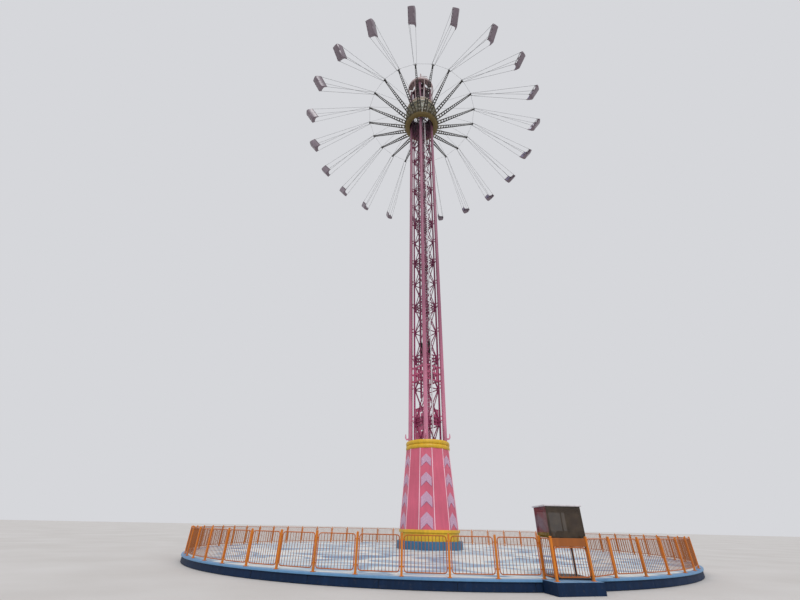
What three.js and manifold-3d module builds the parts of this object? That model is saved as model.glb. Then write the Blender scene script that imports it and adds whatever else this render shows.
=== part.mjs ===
// Chair swing ride: a tall lattice mast with a sliding gondola, 21 arms and 21 hanging double seats.
// Half-size model. The dimensions below are metres of the real ride; SCALE turns them into model mm.
// Origin: centre of the mast on the ground. +Z is up and -Y is the side of the first arm.
import * as THREE from 'three';
import { mergeVertices } from 'three/addons/utils/BufferGeometryUtils.js';
import Module from 'manifold-3d';

const wasm = await Module();
wasm.setup();

const SCALE = 500;
const GAP = 0.3 / SCALE;

// Platform
const PLATFORM_R = 13.62;
const BASE_R = 13.56;
const BASE_TOP = 0.25;
const DECK_Z = 0.314;
const DECK_FLAT_R = 11.0;
const DECK_CENTRE_Z = 0.455;
const PAD_LEFT = [4.698, -13.562];
const PAD_ANGLE = 22.3;
const PAD_WIDTH = 1.57;
const PAD_DEPTH = 1.4;

// Plinth and skirt
const PLINTH_R = 2.04;
const PLINTH_TOP = 0.87;
const BASE_RING_R = 1.83;
const BASE_RING_LIP_R = 1.9;
const BASE_RING_TOP = 1.45;
const SKIRT_SIDES = 12;
const SKIRT_BOTTOM = 1.8;
const SKIRT_TOP = 1.435;
const SKIRT_WALL = 0.045;
const SKIRT_TOP_Z = 6.05;
const TOP_RING_R = 1.515;
const TOP_RING_TOP = 6.6;

// Mast
const CHORD_R = 0.94;
const CHORD = 0.11;
const BAYS = 21;
const BAY = 2.382;
const SIDE_PLATE = 0.06;
const BRACE = 0.075;
const TUBE_R = 1.25;
const TUBE = 0.125;
const TUBE_TOP = 50.85;
const HOOK_Z = 6.8;

// Crown
const CROWN_RIBS = 8;
const CROWN_LOW = 46.95;
const CROWN_CURVE = [[1.46, CROWN_LOW], [1.53, 48.8], [1.65, 50.92]];
const CROWN_DECK_R = 1.65;
const CROWN_DECK_IN = 0.98;
const CROWN_DECK_HALF = 80;
const CROWN_DECK_TOP = 51.05;

// Gondola
const SLEEVE_IN = 1.42;
const SLEEVE_OUT = 1.5;
const LOWER_RING_R = 1.96;
const LOWER_RING_Z = 42.85;
const DRUM_Z = 43.1;
const DRUM_TOP = 45.7;
const DRUM_R = 1.88;
const STAY_RING_R = 1.8;
const STAY_RING_Z = 46.2;

// Arms
const ARMS = 21;
const SECTORS = 3;
const ARM_TIP_R = 6.434;
const ARM_TIP_Z = 44.47;
const ARM_ROOT_R = 1.95;
const ARM_ROOT_Z = 43.25;
const ARM_ROOT_HALF = 0.215;
const ARM_TIP_HALF = 0.07;
const ARM_DEPTH = 0.1;
const ARM_HOLES = 17;
const ARM_HOLED = 0.93;
const STAY = 0.02;

// Seats
const CABLE_LENGTH = 7.64;
const SWING = 54.4;
const TRAIL = 3.5;
const SEAT_HALF = 0.68;
const CABLE = 0.02;
const PIN_R = 0.035;

// Fence
const FENCE_R = 13.47;
const FENCE_START = 31.05;
const FENCE_END = 379.6;
const FENCE_BAYS = 56;
const FENCE_SECTORS = 4;
const FENCE_H = 1.13;
const FENCE_POST = 0.08;
const FENCE_RAIL = 0.04;
const GUARD_LEFT = [4.767, -13.285];
const GUARD_RIGHT = [5.908, -12.817];

// Booth
const BOOTH_LEFT = [4.88, -12.72];
const BOOTH_ANGLE = 8;
const BOOTH_W = 1.1;
const BOOTH_D = 1.25;
const BOOTH_H = 1.95;
const BOOTH_SILL = 1.1;

const rad = (degrees) => degrees * Math.PI / 180;
const root = new THREE.Group();

const paint = (color, roughness = 0.5, metalness = 0.2) =>
  new THREE.MeshStandardMaterial({ color, roughness, metalness });
const PINK = paint(0xb4567f);
const SKIRT_PINK = paint(0xcf6f86, 0.55, 0.0);
const YELLOW = paint(0xd9a22c, 0.45, 0.1);
const BLUE = paint(0x2f5f93, 0.5, 0.1);
const NAVY = paint(0x27496b, 0.55, 0.1);
const DECKING = paint(0xb9d3e6, 0.6, 0.0);
const ORANGE = paint(0xe8641b, 0.4, 0.1);
const OLIVE = paint(0xa9923d, 0.45, 0.3);
const CROWN_RED = paint(0x9c5450, 0.5, 0.2);
const WHITE = paint(0xe6e6ea, 0.5, 0.1);
const SEAT = paint(0x93779c, 0.4, 0.0);
const FRAME = paint(0x3a302c, 0.5, 0.2);
const GLASS = paint(0x9fb2b5, 0.1, 0.0);

// A closed solid from a three.js geometry.
function solid(geometry) {
  const g = geometry.index ? geometry.toNonIndexed() : geometry.clone();
  g.deleteAttribute('normal');
  g.deleteAttribute('uv');
  const merged = mergeVertices(g, 1e-5);
  const vertProperties = new Float32Array(merged.attributes.position.array);
  const triVerts = new Uint32Array(merged.index.array);
  return new wasm.Manifold(new wasm.Mesh({ numProp: 3, vertProperties, triVerts }));
}

function join(shapes) {
  let total = shapes[0];
  for (const shape of shapes.slice(1)) total = total.add(shape);
  return total;
}

// Back to a three.js geometry, in model millimetres.
function geometryOf(manifold) {
  const mesh = manifold.getMesh();
  const positions = new Float32Array(mesh.vertProperties.length);
  for (let i = 0; i < positions.length; i += 1) positions[i] = mesh.vertProperties[i] * SCALE;
  const geometry = new THREE.BufferGeometry();
  geometry.setAttribute('position', new THREE.BufferAttribute(positions, 3));
  geometry.setIndex(new THREE.BufferAttribute(new Uint32Array(mesh.triVerts), 1));
  geometry.computeVertexNormals();
  return geometry;
}

function piece(name, manifold, material, parent = root) {
  const mesh = new THREE.Mesh(geometryOf(manifold), material);
  mesh.name = name;
  parent.add(mesh);
  return mesh;
}

// Turned ring or disc from a profile of [radius, height] points.
function turned(profile, segments, turn = 0) {
  const points = profile.map(([r, z]) => new THREE.Vector2(r, z));
  if (profile[0][0] > 0) points.push(points[0].clone());
  const geometry = new THREE.LatheGeometry(points, segments);
  geometry.rotateX(Math.PI / 2);
  geometry.rotateZ(turn);
  return orient(geometry);
}

// Faces point outwards whichever way the profile runs.
function orient(geometry) {
  let shape = solid(geometry);
  if (shape.volume() < 0) {
    const flipped = geometry.clone();
    const index = flipped.index.array;
    for (let i = 0; i < index.length; i += 3) {
      const first = index[i];
      index[i] = index[i + 1];
      index[i + 1] = first;
    }
    shape = solid(flipped);
  }
  return shape;
}

function box(sx, sy, sz, x, y, z) {
  const geometry = new THREE.BoxGeometry(sx, sy, sz);
  geometry.translate(x, y, z);
  return solid(geometry);
}

// Straight bar of width a and height b from point p to point q; b lies towards up.
function bar(p, q, a, b = a, up = [0, 0, 1]) {
  const from = new THREE.Vector3(...p);
  const to = new THREE.Vector3(...q);
  const along = to.clone().sub(from);
  const length = along.length();
  const x = along.normalize();
  const guide = Math.abs(x.z) > 0.99 ? [1, 0, 0] : up;
  const y = new THREE.Vector3(...guide).cross(x).normalize();
  const z = x.clone().cross(y);
  const geometry = new THREE.BoxGeometry(length, a, b);
  geometry.translate(length / 2, 0, 0);
  geometry.applyMatrix4(new THREE.Matrix4().makeBasis(x, y, z).setPosition(from));
  return solid(geometry);
}

function rod(radius, sides, z0, z1, x = 0, y = 0) {
  const geometry = new THREE.CylinderGeometry(radius, radius, z1 - z0, sides);
  geometry.rotateX(Math.PI / 2);
  geometry.translate(x, y, (z0 + z1) / 2);
  return solid(geometry);
}

// Plate with the outline and holes given in its own x and y, depth along z, centred on z = 0.
function plate(outline, holes, depth) {
  const shape = new THREE.Shape(outline.map(([x, y]) => new THREE.Vector2(x, y)));
  for (const hole of holes) shape.holes.push(new THREE.Path(hole.map(([x, y]) => new THREE.Vector2(x, y))));
  const geometry = new THREE.ExtrudeGeometry(shape, { depth, bevelEnabled: false });
  geometry.translate(0, 0, -depth / 2);
  return geometry;
}

// Point at radius r, azimuth a in degrees from -Y towards +X, height z.
const polar = (r, a, z) => [r * Math.sin(rad(a)), -r * Math.cos(rad(a)), z];
const turnTo = (shape, a) => shape.rotate([0, 0, a - 90]);

// Platform: blue skirting drum, painted deck with a slight fall to the rim, and the booth's pad.
function platform() {
  const base = turned([[0, 0], [BASE_R, 0], [BASE_R, BASE_TOP], [0, BASE_TOP]], 60);
  piece('platform_base', base, NAVY);
  const z = BASE_TOP + GAP;
  const deck = turned([[0, z], [PLATFORM_R, z], [PLATFORM_R, DECK_Z], [DECK_FLAT_R, DECK_Z],
    [2.2, DECK_CENTRE_Z], [0, DECK_CENTRE_Z]], 60);
  piece('platform_deck', deck, DECKING);
  const block = box(PAD_WIDTH, PAD_DEPTH, DECK_Z, PAD_WIDTH / 2, PAD_DEPTH / 2, DECK_Z / 2)
    .rotate([0, 0, PAD_ANGLE]).translate([...PAD_LEFT, 0]);
  const keepOut = rod(PLATFORM_R + 0.002, 60, -1, 1);
  piece('step_pad', block.subtract(keepOut), NAVY);
}

// Round blue plinth, yellow base ring, twelve-sided skirt and the two-lobed yellow ring on top.
function skirt() {
  const z0 = DECK_CENTRE_Z + GAP;
  piece('plinth', turned([[0, z0], [PLINTH_R, z0], [PLINTH_R, PLINTH_TOP], [0, PLINTH_TOP]], 36), BLUE);
  const z1 = PLINTH_TOP + GAP;
  const lip = BASE_RING_TOP - 0.15;
  piece('base_ring', turned([[1.6, z1], [BASE_RING_R, z1], [BASE_RING_R, lip - 0.04],
    [BASE_RING_LIP_R, lip], [BASE_RING_LIP_R, BASE_RING_TOP], [1.6, BASE_RING_TOP]], 24), YELLOW);
  const corner = 1 / Math.cos(Math.PI / SKIRT_SIDES);
  const z2 = BASE_RING_TOP + GAP;
  const wall = turned([[(SKIRT_BOTTOM - SKIRT_WALL) * corner, z2], [SKIRT_BOTTOM * corner, z2],
    [SKIRT_TOP * corner, SKIRT_TOP_Z], [(SKIRT_TOP - SKIRT_WALL) * corner, SKIRT_TOP_Z]],
  SKIRT_SIDES, Math.PI / SKIRT_SIDES);
  piece('skirt', wall, SKIRT_PINK);
  const z3 = SKIRT_TOP_Z + GAP;
  const top = TOP_RING_TOP;
  const mid = (z3 + top) / 2;
  piece('skirt_top_ring', turned([[1.4, z3], [TOP_RING_R - 0.04, z3], [TOP_RING_R, z3 + 0.13],
    [TOP_RING_R - 0.05, mid], [TOP_RING_R, top - 0.13], [TOP_RING_R - 0.04, top], [1.4, top]], 24),
  YELLOW);
}

// One flat side of the mast: horizontals, zigzag braces and the corner chord at its right end.
function mastSide(index) {
  const side = CHORD_R * Math.SQRT2;
  const half = side / 2 - CHORD / 2 - GAP;
  const z0 = PLINTH_TOP + GAP;
  const height = BAYS * BAY;
  const holes = [];
  for (let k = 0; k < BAYS; k += 1) {
    const low = k * BAY + BRACE / 2 + (k === 0 ? BRACE / 2 : 0);
    const high = (k + 1) * BAY - BRACE / 2 - (k === BAYS - 1 ? BRACE / 2 : 0);
    const left = -half;
    const right = half - 0.005;
    const edge = 0.03;
    const skew = BRACE * 0.62;
    const rise = k % 2 === 0;
    const flip = (x) => (rise ? x : -x);
    holes.push([[flip(left + edge), low + 2 * skew], [flip(left + edge), high],
      [flip(right - edge - skew), high]]);
    holes.push([[flip(left + edge + skew), low], [flip(right - edge), high - 2 * skew],
      [flip(right - edge), low]]);
  }
  const wound = holes.map((h) => (area(h) > 0 ? h : h.reverse()));
  const frame = plate([[-half, 0], [half + 0.02, 0], [half + 0.02, height], [-half, height]], wound,
    SIDE_PLATE);
  frame.rotateX(Math.PI / 2);
  frame.translate(0, -CHORD_R / Math.SQRT2, z0);
  const chord = new THREE.BoxGeometry(CHORD, CHORD, height);
  chord.translate(side / 2, -CHORD_R / Math.SQRT2, z0 + height / 2);
  return solid(frame).add(solid(chord)).rotate([0, 0, 45 + 90 * index]);
}

function area(points) {
  let total = 0;
  points.forEach(([x, y], i) => {
    const [u, v] = points[(i + 1) % points.length];
    total += x * v - u * y;
  });
  return total / 2;
}

// Outer guide tube with its stand-off brackets, the landing hook near its foot and the cage's seat.
function guideTube(index) {
  const z0 = PLINTH_TOP + GAP;
  const parts = [rod(TUBE, 8, z0, TUBE_TOP, TUBE_R, 0)];
  const inner = CHORD_R + CHORD / Math.SQRT2 + GAP;
  for (let k = 1; k < 19; k += 4) {
    const z = z0 + k * BAY;
    parts.push(box(TUBE_R - inner, 0.09, 0.16, (TUBE_R + inner) / 2, 0, z));
  }
  const out = TUBE_R + TUBE;
  parts.push(box(0.14, 0.12, 0.1, out + 0.025, 0, CROWN_LOW - 0.05));
  parts.push(box(0.24, 0.08, 0.1, out + 0.08, 0, HOOK_Z + 0.05));
  parts.push(box(0.06, 0.08, 0.42, out + 0.17, 0, HOOK_Z + 0.21));
  return turnTo(join(parts), 90 * index);
}

function mast() {
  const names = ['right_front', 'right_back', 'left_back', 'left_front'];
  names.forEach((name, i) => piece(`mast_side_${name}`, mastSide(i), PINK));
  const sides = ['front', 'right', 'back', 'left'];
  sides.forEach((name, i) => piece(`guide_tube_${name}`, guideTube(i), PINK));
  piece('ladder', ladder(), WHITE);
  piece('service_pipe', servicePipe(), WHITE);
}

// Climbing ladder that stands inside the mast.
function ladder() {
  const z0 = PLINTH_TOP + GAP;
  const height = 49.8;
  const half = 0.2;
  const holes = [];
  const steps = 10;
  const pitch = (height - 0.04) / steps;
  for (let k = 0; k < steps; k += 1) {
    const low = 0.04 + k * pitch;
    const high = (k + 1) * pitch;
    holes.push([[-half + 0.05, low], [half - 0.05, low], [half - 0.05, high], [-half + 0.05, high]]);
  }
  const frame = plate([[-half, 0], [half, 0], [half, height], [-half, height]], holes, 0.04);
  frame.rotateX(Math.PI / 2);
  frame.translate(0.22, 0.12, z0);
  return solid(frame);
}

// White pipe outside the right front side of the mast, held by short clips.
function servicePipe() {
  const face = CHORD_R / Math.SQRT2 + SIDE_PLATE / 2;
  const r = 0.045;
  const off = face + 0.1;
  const parts = [rod(r, 6, 6.9, 50.6, -0.14, -off)];
  for (let k = 3; k < 19; k += 4) {
    const z = PLINTH_TOP + GAP + k * BAY;
    const reach = off - face - GAP;
    parts.push(box(0.05, reach, 0.06, -0.14, -(off + face + GAP) / 2, z));
  }
  return join(parts).rotate([0, 0, 45]);
}

// Flared cage on the mast head, the walkway on its top ring, the aerial post and the hoop rail.
function crown() {
  const parts = [];
  const z0 = CROWN_LOW + GAP;
  parts.push(turned([[1.39, z0], [1.48, z0], [1.48, z0 + 0.12], [1.39, z0 + 0.12]], 4 * CROWN_RIBS));
  parts.push(turned([[1.55, 50.82], [1.66, 50.82], [1.66, 50.95], [1.55, 50.95]], 3 * CROWN_RIBS));
  const outer = CROWN_CURVE.map(([r, z]) => [r, z]);
  const inner = CROWN_CURVE.map(([r, z]) => [r - 0.07, z]).reverse();
  for (let k = 0; k < CROWN_RIBS; k += 1) {
    const rib = plate([...outer, ...inner], [], 0.06);
    rib.rotateX(Math.PI / 2);
    parts.push(turnTo(solid(rib), (k + 0.5) * 360 / CROWN_RIBS));
  }
  piece('crown_cage', join(parts), CROWN_RED);
  const z1 = 50.95 + GAP;
  const deck = [crownWalkway(z1)];
  for (const x of [-0.6, 0.6]) {
    deck.push(box(0.08, 2.62, CROWN_DECK_TOP - z1, x, 0.19, (CROWN_DECK_TOP + z1) / 2));
  }
  deck.push(rod(0.08, 8, CROWN_DECK_TOP - 0.02, 52.5, 0.14, -1.34));
  deck.push(bar([0.26, -1.42, CROWN_DECK_TOP - 0.02], [0.26, -1.42, 51.8], 0.05));
  deck.push(bar([0.98, -1.26, CROWN_DECK_TOP - 0.02], [0.98, -1.26, 51.8], 0.05));
  deck.push(bar([0.2356, -1.4254, 51.78], [1.0044, -1.2546, 51.78], 0.05));
  piece('crown_deck', join(deck), CROWN_RED);
}

// Walkway on the front half of the crown, a flat part of a ring.
function crownWalkway(z) {
  const outline = [];
  const sections = 16;
  for (const [r, way] of [[CROWN_DECK_R, 1], [CROWN_DECK_IN, -1]]) {
    for (let k = 0; k <= sections; k += 1) {
      const [x, y] = polar(r, way * CROWN_DECK_HALF * (2 * k / sections - 1), 0);
      outline.push([x, y]);
    }
  }
  const height = CROWN_DECK_TOP - z;
  const deck = plate(outline, [], height);
  deck.translate(0, 0, z + height / 2);
  return solid(deck);
}

// Sliding sleeve on the mast: guide shoes run on the tubes and a bearing collar carries the rotor.
function sleeve() {
  const top = DRUM_TOP - 0.1 - 0.0014;
  const low = DRUM_Z + 0.05;
  const high = DRUM_TOP + 0.28;
  const parts = [turned([[SLEEVE_IN, low], [SLEEVE_OUT, low], [SLEEVE_OUT, top - 0.2],
    [SLEEVE_OUT + 0.18, top - 0.2], [SLEEVE_OUT + 0.18, top], [SLEEVE_OUT, top],
    [SLEEVE_OUT, high], [SLEEVE_IN, high]], 18)];
  const inner = TUBE_R + TUBE + 0.0014;
  const reach = SLEEVE_IN + 0.02 - inner;
  for (const z of [low + 0.12, high - 0.12]) {
    for (let k = 0; k < 4; k += 1) {
      parts.push(turnTo(box(reach, 0.16, 0.2, inner + reach / 2, 0, z), 90 * k));
    }
  }
  return join(parts);
}

// Rotor: lower ring, drum shell with its top plate, and the stay ring on its posts.
function rotorBody(parent) {
  const z0 = LOWER_RING_Z;
  piece('lower_ring', turned([[SLEEVE_IN, z0], [LOWER_RING_R, z0], [LOWER_RING_R, DRUM_Z],
    [SLEEVE_IN, DRUM_Z]], 28), YELLOW, parent);
  const z1 = DRUM_Z + GAP;
  const inside = DRUM_R - 0.08;
  const under = DRUM_TOP - 0.1;
  const shell = turned([[inside, z1], [DRUM_R, z1], [DRUM_R, DRUM_TOP], [SLEEVE_OUT + 0.03, DRUM_TOP],
    [SLEEVE_OUT + 0.03, under], [inside, under]], 28);
  piece('drum', shell, OLIVE, parent);
  const r = STAY_RING_R;
  const parts = [turned([[r - 0.1, STAY_RING_Z], [r, STAY_RING_Z], [r, STAY_RING_Z + 0.12],
    [r - 0.1, STAY_RING_Z + 0.12]], 28)];
  for (let k = 0; k < 7; k += 1) {
    const post = box(0.06, 0.08, STAY_RING_Z - DRUM_TOP + 0.04, r - 0.05, 0,
      (STAY_RING_Z + DRUM_TOP + 0.04) / 2 + GAP / 2 - 0.0);
    parts.push(turnTo(trimBelow(post, DRUM_TOP + GAP), k * 360 / 7));
  }
  piece('stay_ring', join(parts), OLIVE, parent);
}

function trimBelow(shape, z) {
  return shape.subtract(box(60, 60, 20, 0, 0, z - 10));
}

// One arm: a tapering plate with a row of holes that shrink towards the tip, its tip block and lug.
function arm() {
  const run = ARM_TIP_R - 0.06 - ARM_ROOT_R;
  const rise = ARM_TIP_Z + 0.04 - ARM_ROOT_Z;
  const length = Math.hypot(run, rise);
  const tilt = Math.atan2(rise, run);
  const start = -0.025;
  const halfAt = (s) => ARM_ROOT_HALF + (ARM_TIP_HALF - ARM_ROOT_HALF) * s / length;
  const outline = [[start, -halfAt(0)], [length, -halfAt(length)], [length, halfAt(length)],
    [start, halfAt(0)]];
  const holes = [];
  const side = (x) => halfAt(x) - 0.045;
  const first = 0.1;
  const shrink = (halfAt(length * ARM_HOLED) / halfAt(first)) ** (1 / ARM_HOLES);
  const slope = (ARM_ROOT_HALF - ARM_TIP_HALF) / length;
  for (let k = 0; k < ARM_HOLES; k += 1) {
    const low = first + halfAt(first) * (1 - shrink ** k) / slope + 0.028;
    const high = first + halfAt(first) * (1 - shrink ** (k + 1)) / slope - 0.028;
    holes.push([[low, -side(low)], [high, -side(high)], [high, side(high)], [low, side(low)]]);
  }
  const body = plate(outline, holes, ARM_DEPTH);
  body.rotateY(-tilt);
  body.translate(ARM_ROOT_R, 0, ARM_ROOT_Z);
  const lug = plate([[-0.09, 0.24], [-0.09, -0.08], [0.09, -0.08], [0.09, 0.24]],
    [hexagon(PIN_R + 0.0071, 0)], 0.16);
  lug.rotateX(Math.PI / 2);
  lug.rotateZ(rad(TRAIL));
  lug.translate(ARM_TIP_R, 0, ARM_TIP_Z);
  return solid(body).add(solid(lug));
}

// Rope ring on the arm tips and one straight stay from each tip in to the stay ring.
function stayRopes() {
  const z = ARM_TIP_Z + 0.24 + GAP + STAY / 2;
  const parts = [];
  for (let k = 0; k < ARMS; k += 1) {
    const a = k * 360 / ARMS;
    parts.push(bar(polar(ARM_TIP_R + 0.01, a, z), polar(STAY_RING_R + 0.005, a, STAY_RING_Z + 0.06), STAY));
    parts.push(bar(polar(ARM_TIP_R, a, z), polar(ARM_TIP_R, a + 360 / ARMS, z), STAY));
  }
  return join(parts);
}

function hexagon(radius, turn) {
  const points = [];
  for (let k = 0; k < 6; k += 1) {
    const a = turn + k * Math.PI / 3;
    points.push([radius * Math.cos(a), radius * Math.sin(a)]);
  }
  return points;
}

// Seven arms on one part of the root band.
function armSector(index) {
  const count = ARMS / SECTORS;
  const step = 360 / ARMS;
  const one = arm();
  const parts = [rootBand(count * step)];
  for (let k = 0; k < count; k += 1) parts.push(turnTo(one, (k - (count - 1) / 2) * step));
  return join(parts).rotate([0, 0, ((count - 1) / 2 + index * count) * step]);
}

function rootBand(span) {
  const sections = ARMS / SECTORS;
  const inner = (DRUM_R + GAP) / Math.cos(Math.PI / ARMS);
  const outer = inner + 0.07;
  const outline = [];
  const edge = span / 2 - 0.02;
  for (let k = 0; k <= sections; k += 1) {
    const [x, y] = polar(outer, -edge + 2 * edge * k / sections, 0);
    outline.push([x, y]);
  }
  for (let k = sections; k >= 0; k -= 1) {
    const [x, y] = polar(inner, -edge + 2 * edge * k / sections, 0);
    outline.push([x, y]);
  }
  const height = 0.7;
  const band = plate(outline, [], height);
  band.translate(0, 0, DRUM_Z + GAP + height / 2);
  return solid(band);
}

// Double seat hanging straight down from its pin at the origin; it faces -y, x points outwards.
function chair() {
  const drop = -CABLE_LENGTH;
  const outer = [[0.34, 0.42], [0.28, -0.36], [-0.36, -0.34], [-0.36, -0.08], [0.14, 0.06], [0.27, 0.42]];
  const pocket = [[0.265, 0.6], [0.2, -0.27], [-0.5, -0.25], [-0.5, 0.6]];
  const shell = sideways(outer, 2 * SEAT_HALF, drop).subtract(sideways(pocket, 2 * SEAT_HALF - 0.1, drop));
  const pin = plate(hexagon(PIN_R, Math.PI / 2), [], 0.36);
  pin.rotateX(Math.PI / 2);
  const parts = [shell, solid(pin)];
  for (const s of [-1, 1]) {
    const x = s * (SEAT_HALF - 0.025);
    parts.push(bar([s * 0.0115, 0.15, 0], [x, 0.29, drop + 0.3], CABLE));
    parts.push(bar([s * 0.0115, -0.15, 0], [x, -0.31, drop - 0.12], CABLE));
  }
  return join(parts);
}

// Plate of the given y-z outline, its thickness along x.
function sideways(outline, thickness, z) {
  const shape = plate(outline, [], thickness);
  shape.rotateX(Math.PI / 2);
  shape.rotateZ(Math.PI / 2);
  shape.translate(0, 0, z);
  return solid(shape);
}

function chairs() {
  const shape = chair();
  for (let k = 0; k < ARMS; k += 1) {
    const a = k * 360 / ARMS;
    const holder = new THREE.Group();
    const [x, y, z] = polar(ARM_TIP_R, a, ARM_TIP_Z);
    holder.position.set(x * SCALE, y * SCALE, z * SCALE);
    holder.rotation.z = rad(a - 90 + TRAIL);
    const swing = new THREE.Group();
    swing.rotation.y = -rad(SWING);
    holder.add(swing);
    root.add(holder);
    piece(`chair_${String(k + 1).padStart(2, '0')}`, shape, SEAT, swing);
  }
}

// Fence: posts on the deck with a top and a bottom rail between them.
function fencePost(a) {
  const z0 = DECK_Z + GAP;
  return turnTo(box(FENCE_POST, FENCE_POST, FENCE_H - GAP, FENCE_R, 0, z0 + (FENCE_H - GAP) / 2), a);
}

function fenceSector(index) {
  const bays = FENCE_BAYS / FENCE_SECTORS;
  const pitch = (FENCE_END - FENCE_START) / FENCE_BAYS;
  const parts = [];
  for (let k = 0; k < bays; k += 1) {
    const a = FENCE_START + (index * bays + k) * pitch;
    parts.push(fencePost(a));
    const last = k === bays - 1;
    if (last && index === FENCE_SECTORS - 1) parts.push(fencePost(a + pitch));
    const open = last && index < FENCE_SECTORS - 1;
    parts.push(...railPair(polar(FENCE_R, a, 0), polar(FENCE_R, a + pitch, 0), open ? pitch / 2 : null));
  }
  return join(parts);
}

// Two rails from one post to the next. With turn set, the rail stops short of the next post.
function railPair(from, to, turn) {
  const span = Math.hypot(to[0] - from[0], to[1] - from[1]);
  const cut = turn === null ? 0 : (FENCE_POST / 2 / Math.cos(rad(turn)) + 0.004) / span;
  const end = to.map((v, i) => v + (from[i] - v) * cut);
  const low = DECK_Z + 0.14;
  const high = DECK_Z + FENCE_H - 0.12;
  return [low, high].map((z) => bar([from[0], from[1], z], [end[0], end[1], z], FENCE_RAIL, 0.05));
}

// Fence round the booth: two guard posts with a solid top band between them, and a short bay on each side.
function boothFence() {
  const start = polar(FENCE_R, FENCE_END, 0);
  const end = polar(FENCE_R, FENCE_START, 0);
  const angle = Math.atan2(GUARD_RIGHT[1] - GUARD_LEFT[1], GUARD_RIGHT[0] - GUARD_LEFT[0]);
  const shortOf = (p, q, d) => {
    const span = Math.hypot(q[0] - p[0], q[1] - p[1]);
    return [p[0] + (q[0] - p[0]) * d / span, p[1] + (q[1] - p[1]) * d / span];
  };
  const z0 = DECK_Z + GAP;
  const parts = [];
  for (const [x, y] of [GUARD_LEFT, GUARD_RIGHT]) {
    parts.push(box(FENCE_POST, FENCE_POST, FENCE_H - GAP, 0, 0, z0 + (FENCE_H - GAP) / 2)
      .rotate([0, 0, angle * 180 / Math.PI]).translate([x, y, 0]));
  }
  const low = DECK_Z + 0.14;
  const high = DECK_Z + FENCE_H - 0.12;
  const rail = (p, q, z, height = 0.05) => parts.push(bar([...p, z], [...q, z], FENCE_RAIL, height));
  rail(GUARD_LEFT, GUARD_RIGHT, DECK_Z + 0.965, 0.22);
  rail(GUARD_LEFT, GUARD_RIGHT, low);
  for (const z of [low, high]) {
    rail(shortOf(start, GUARD_LEFT, 0.064), GUARD_LEFT, z);
    rail(GUARD_RIGHT, shortOf(end, GUARD_RIGHT, 0.064), z);
  }
  return join(parts);
}

// Control booth: floor, frame, glass above the sill on three sides and a flat roof; open at the back.
function booth() {
  const group = new THREE.Group();
  group.position.set(BOOTH_LEFT[0] * SCALE, BOOTH_LEFT[1] * SCALE, 0);
  group.rotation.z = rad(BOOTH_ANGLE);
  root.add(group);
  const z0 = DECK_Z + 2 * GAP;
  const zf = z0 + 0.05;
  const w = BOOTH_W;
  const d = BOOTH_D;
  piece('booth_floor', box(w, d, 0.05, w / 2, d / 2, z0 + 0.025), FRAME, group);
  const t = 0.06;
  const top = DECK_Z + BOOTH_H;
  const frame = [];
  for (const x of [t / 2, w - t / 2]) {
    for (const y of [t / 2, d - t / 2]) frame.push(box(t, t, top - zf - GAP, x, y, (zf + GAP + top) / 2));
  }
  for (const z of [top - t / 2, DECK_Z + BOOTH_SILL]) {
    frame.push(box(w, t, t, w / 2, t / 2, z));
    frame.push(box(t, d, t, t / 2, d / 2, z));
    frame.push(box(t, d, t, w - t / 2, d / 2, z));
  }
  frame.push(box(w, t, t, w / 2, d - t / 2, top - t / 2));
  piece('booth_frame', join(frame), FRAME, group);
  const g = 0.015;
  const cut = -g - GAP;
  const low = DECK_Z + BOOTH_SILL - t / 2;
  const high = top - GAP;
  const glass = [box(w - 2 * cut, g, high - low, w / 2, cut + g / 2, (low + high) / 2)];
  glass.push(box(g, d - cut, high - low, cut + g / 2, (d + cut) / 2, (low + high) / 2));
  glass.push(box(g, d - cut, high - low, w - cut - g / 2, (d + cut) / 2, (low + high) / 2));
  piece('booth_glass', join(glass), GLASS, group);
  piece('booth_roof', box(w + 0.12, d + 0.12, 0.05, w / 2, d / 2, top + GAP + 0.025), WHITE, group);
}

platform();
skirt();
mast();
crown();
piece('carriage_sleeve', sleeve(), PINK);
rotorBody(root);
for (let i = 0; i < SECTORS; i += 1) piece(`arms_${i + 1}`, armSector(i), OLIVE);
piece('stay_ropes', stayRopes(), OLIVE);
chairs();
for (let i = 0; i < FENCE_SECTORS; i += 1) piece(`fence_${i + 1}`, fenceSector(i), ORANGE);
piece('booth_fence', boothFence(), ORANGE);
booth();

export default root;
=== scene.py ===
# %% [markdown]
# # A chair swing ride, dressed in Blender
#
# The ride is a tall lattice mast on a round platform. A gondola slides on the mast and carries 21 arms, and
# a double seat hangs from each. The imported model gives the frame: every body, joint and size is settled
# there. This lesson dresses it, piece by piece, at half the real size. One metre here is two metres of the
# real ride.

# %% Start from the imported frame
import math

import bpy
from mathutils import Matrix, Vector


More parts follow.
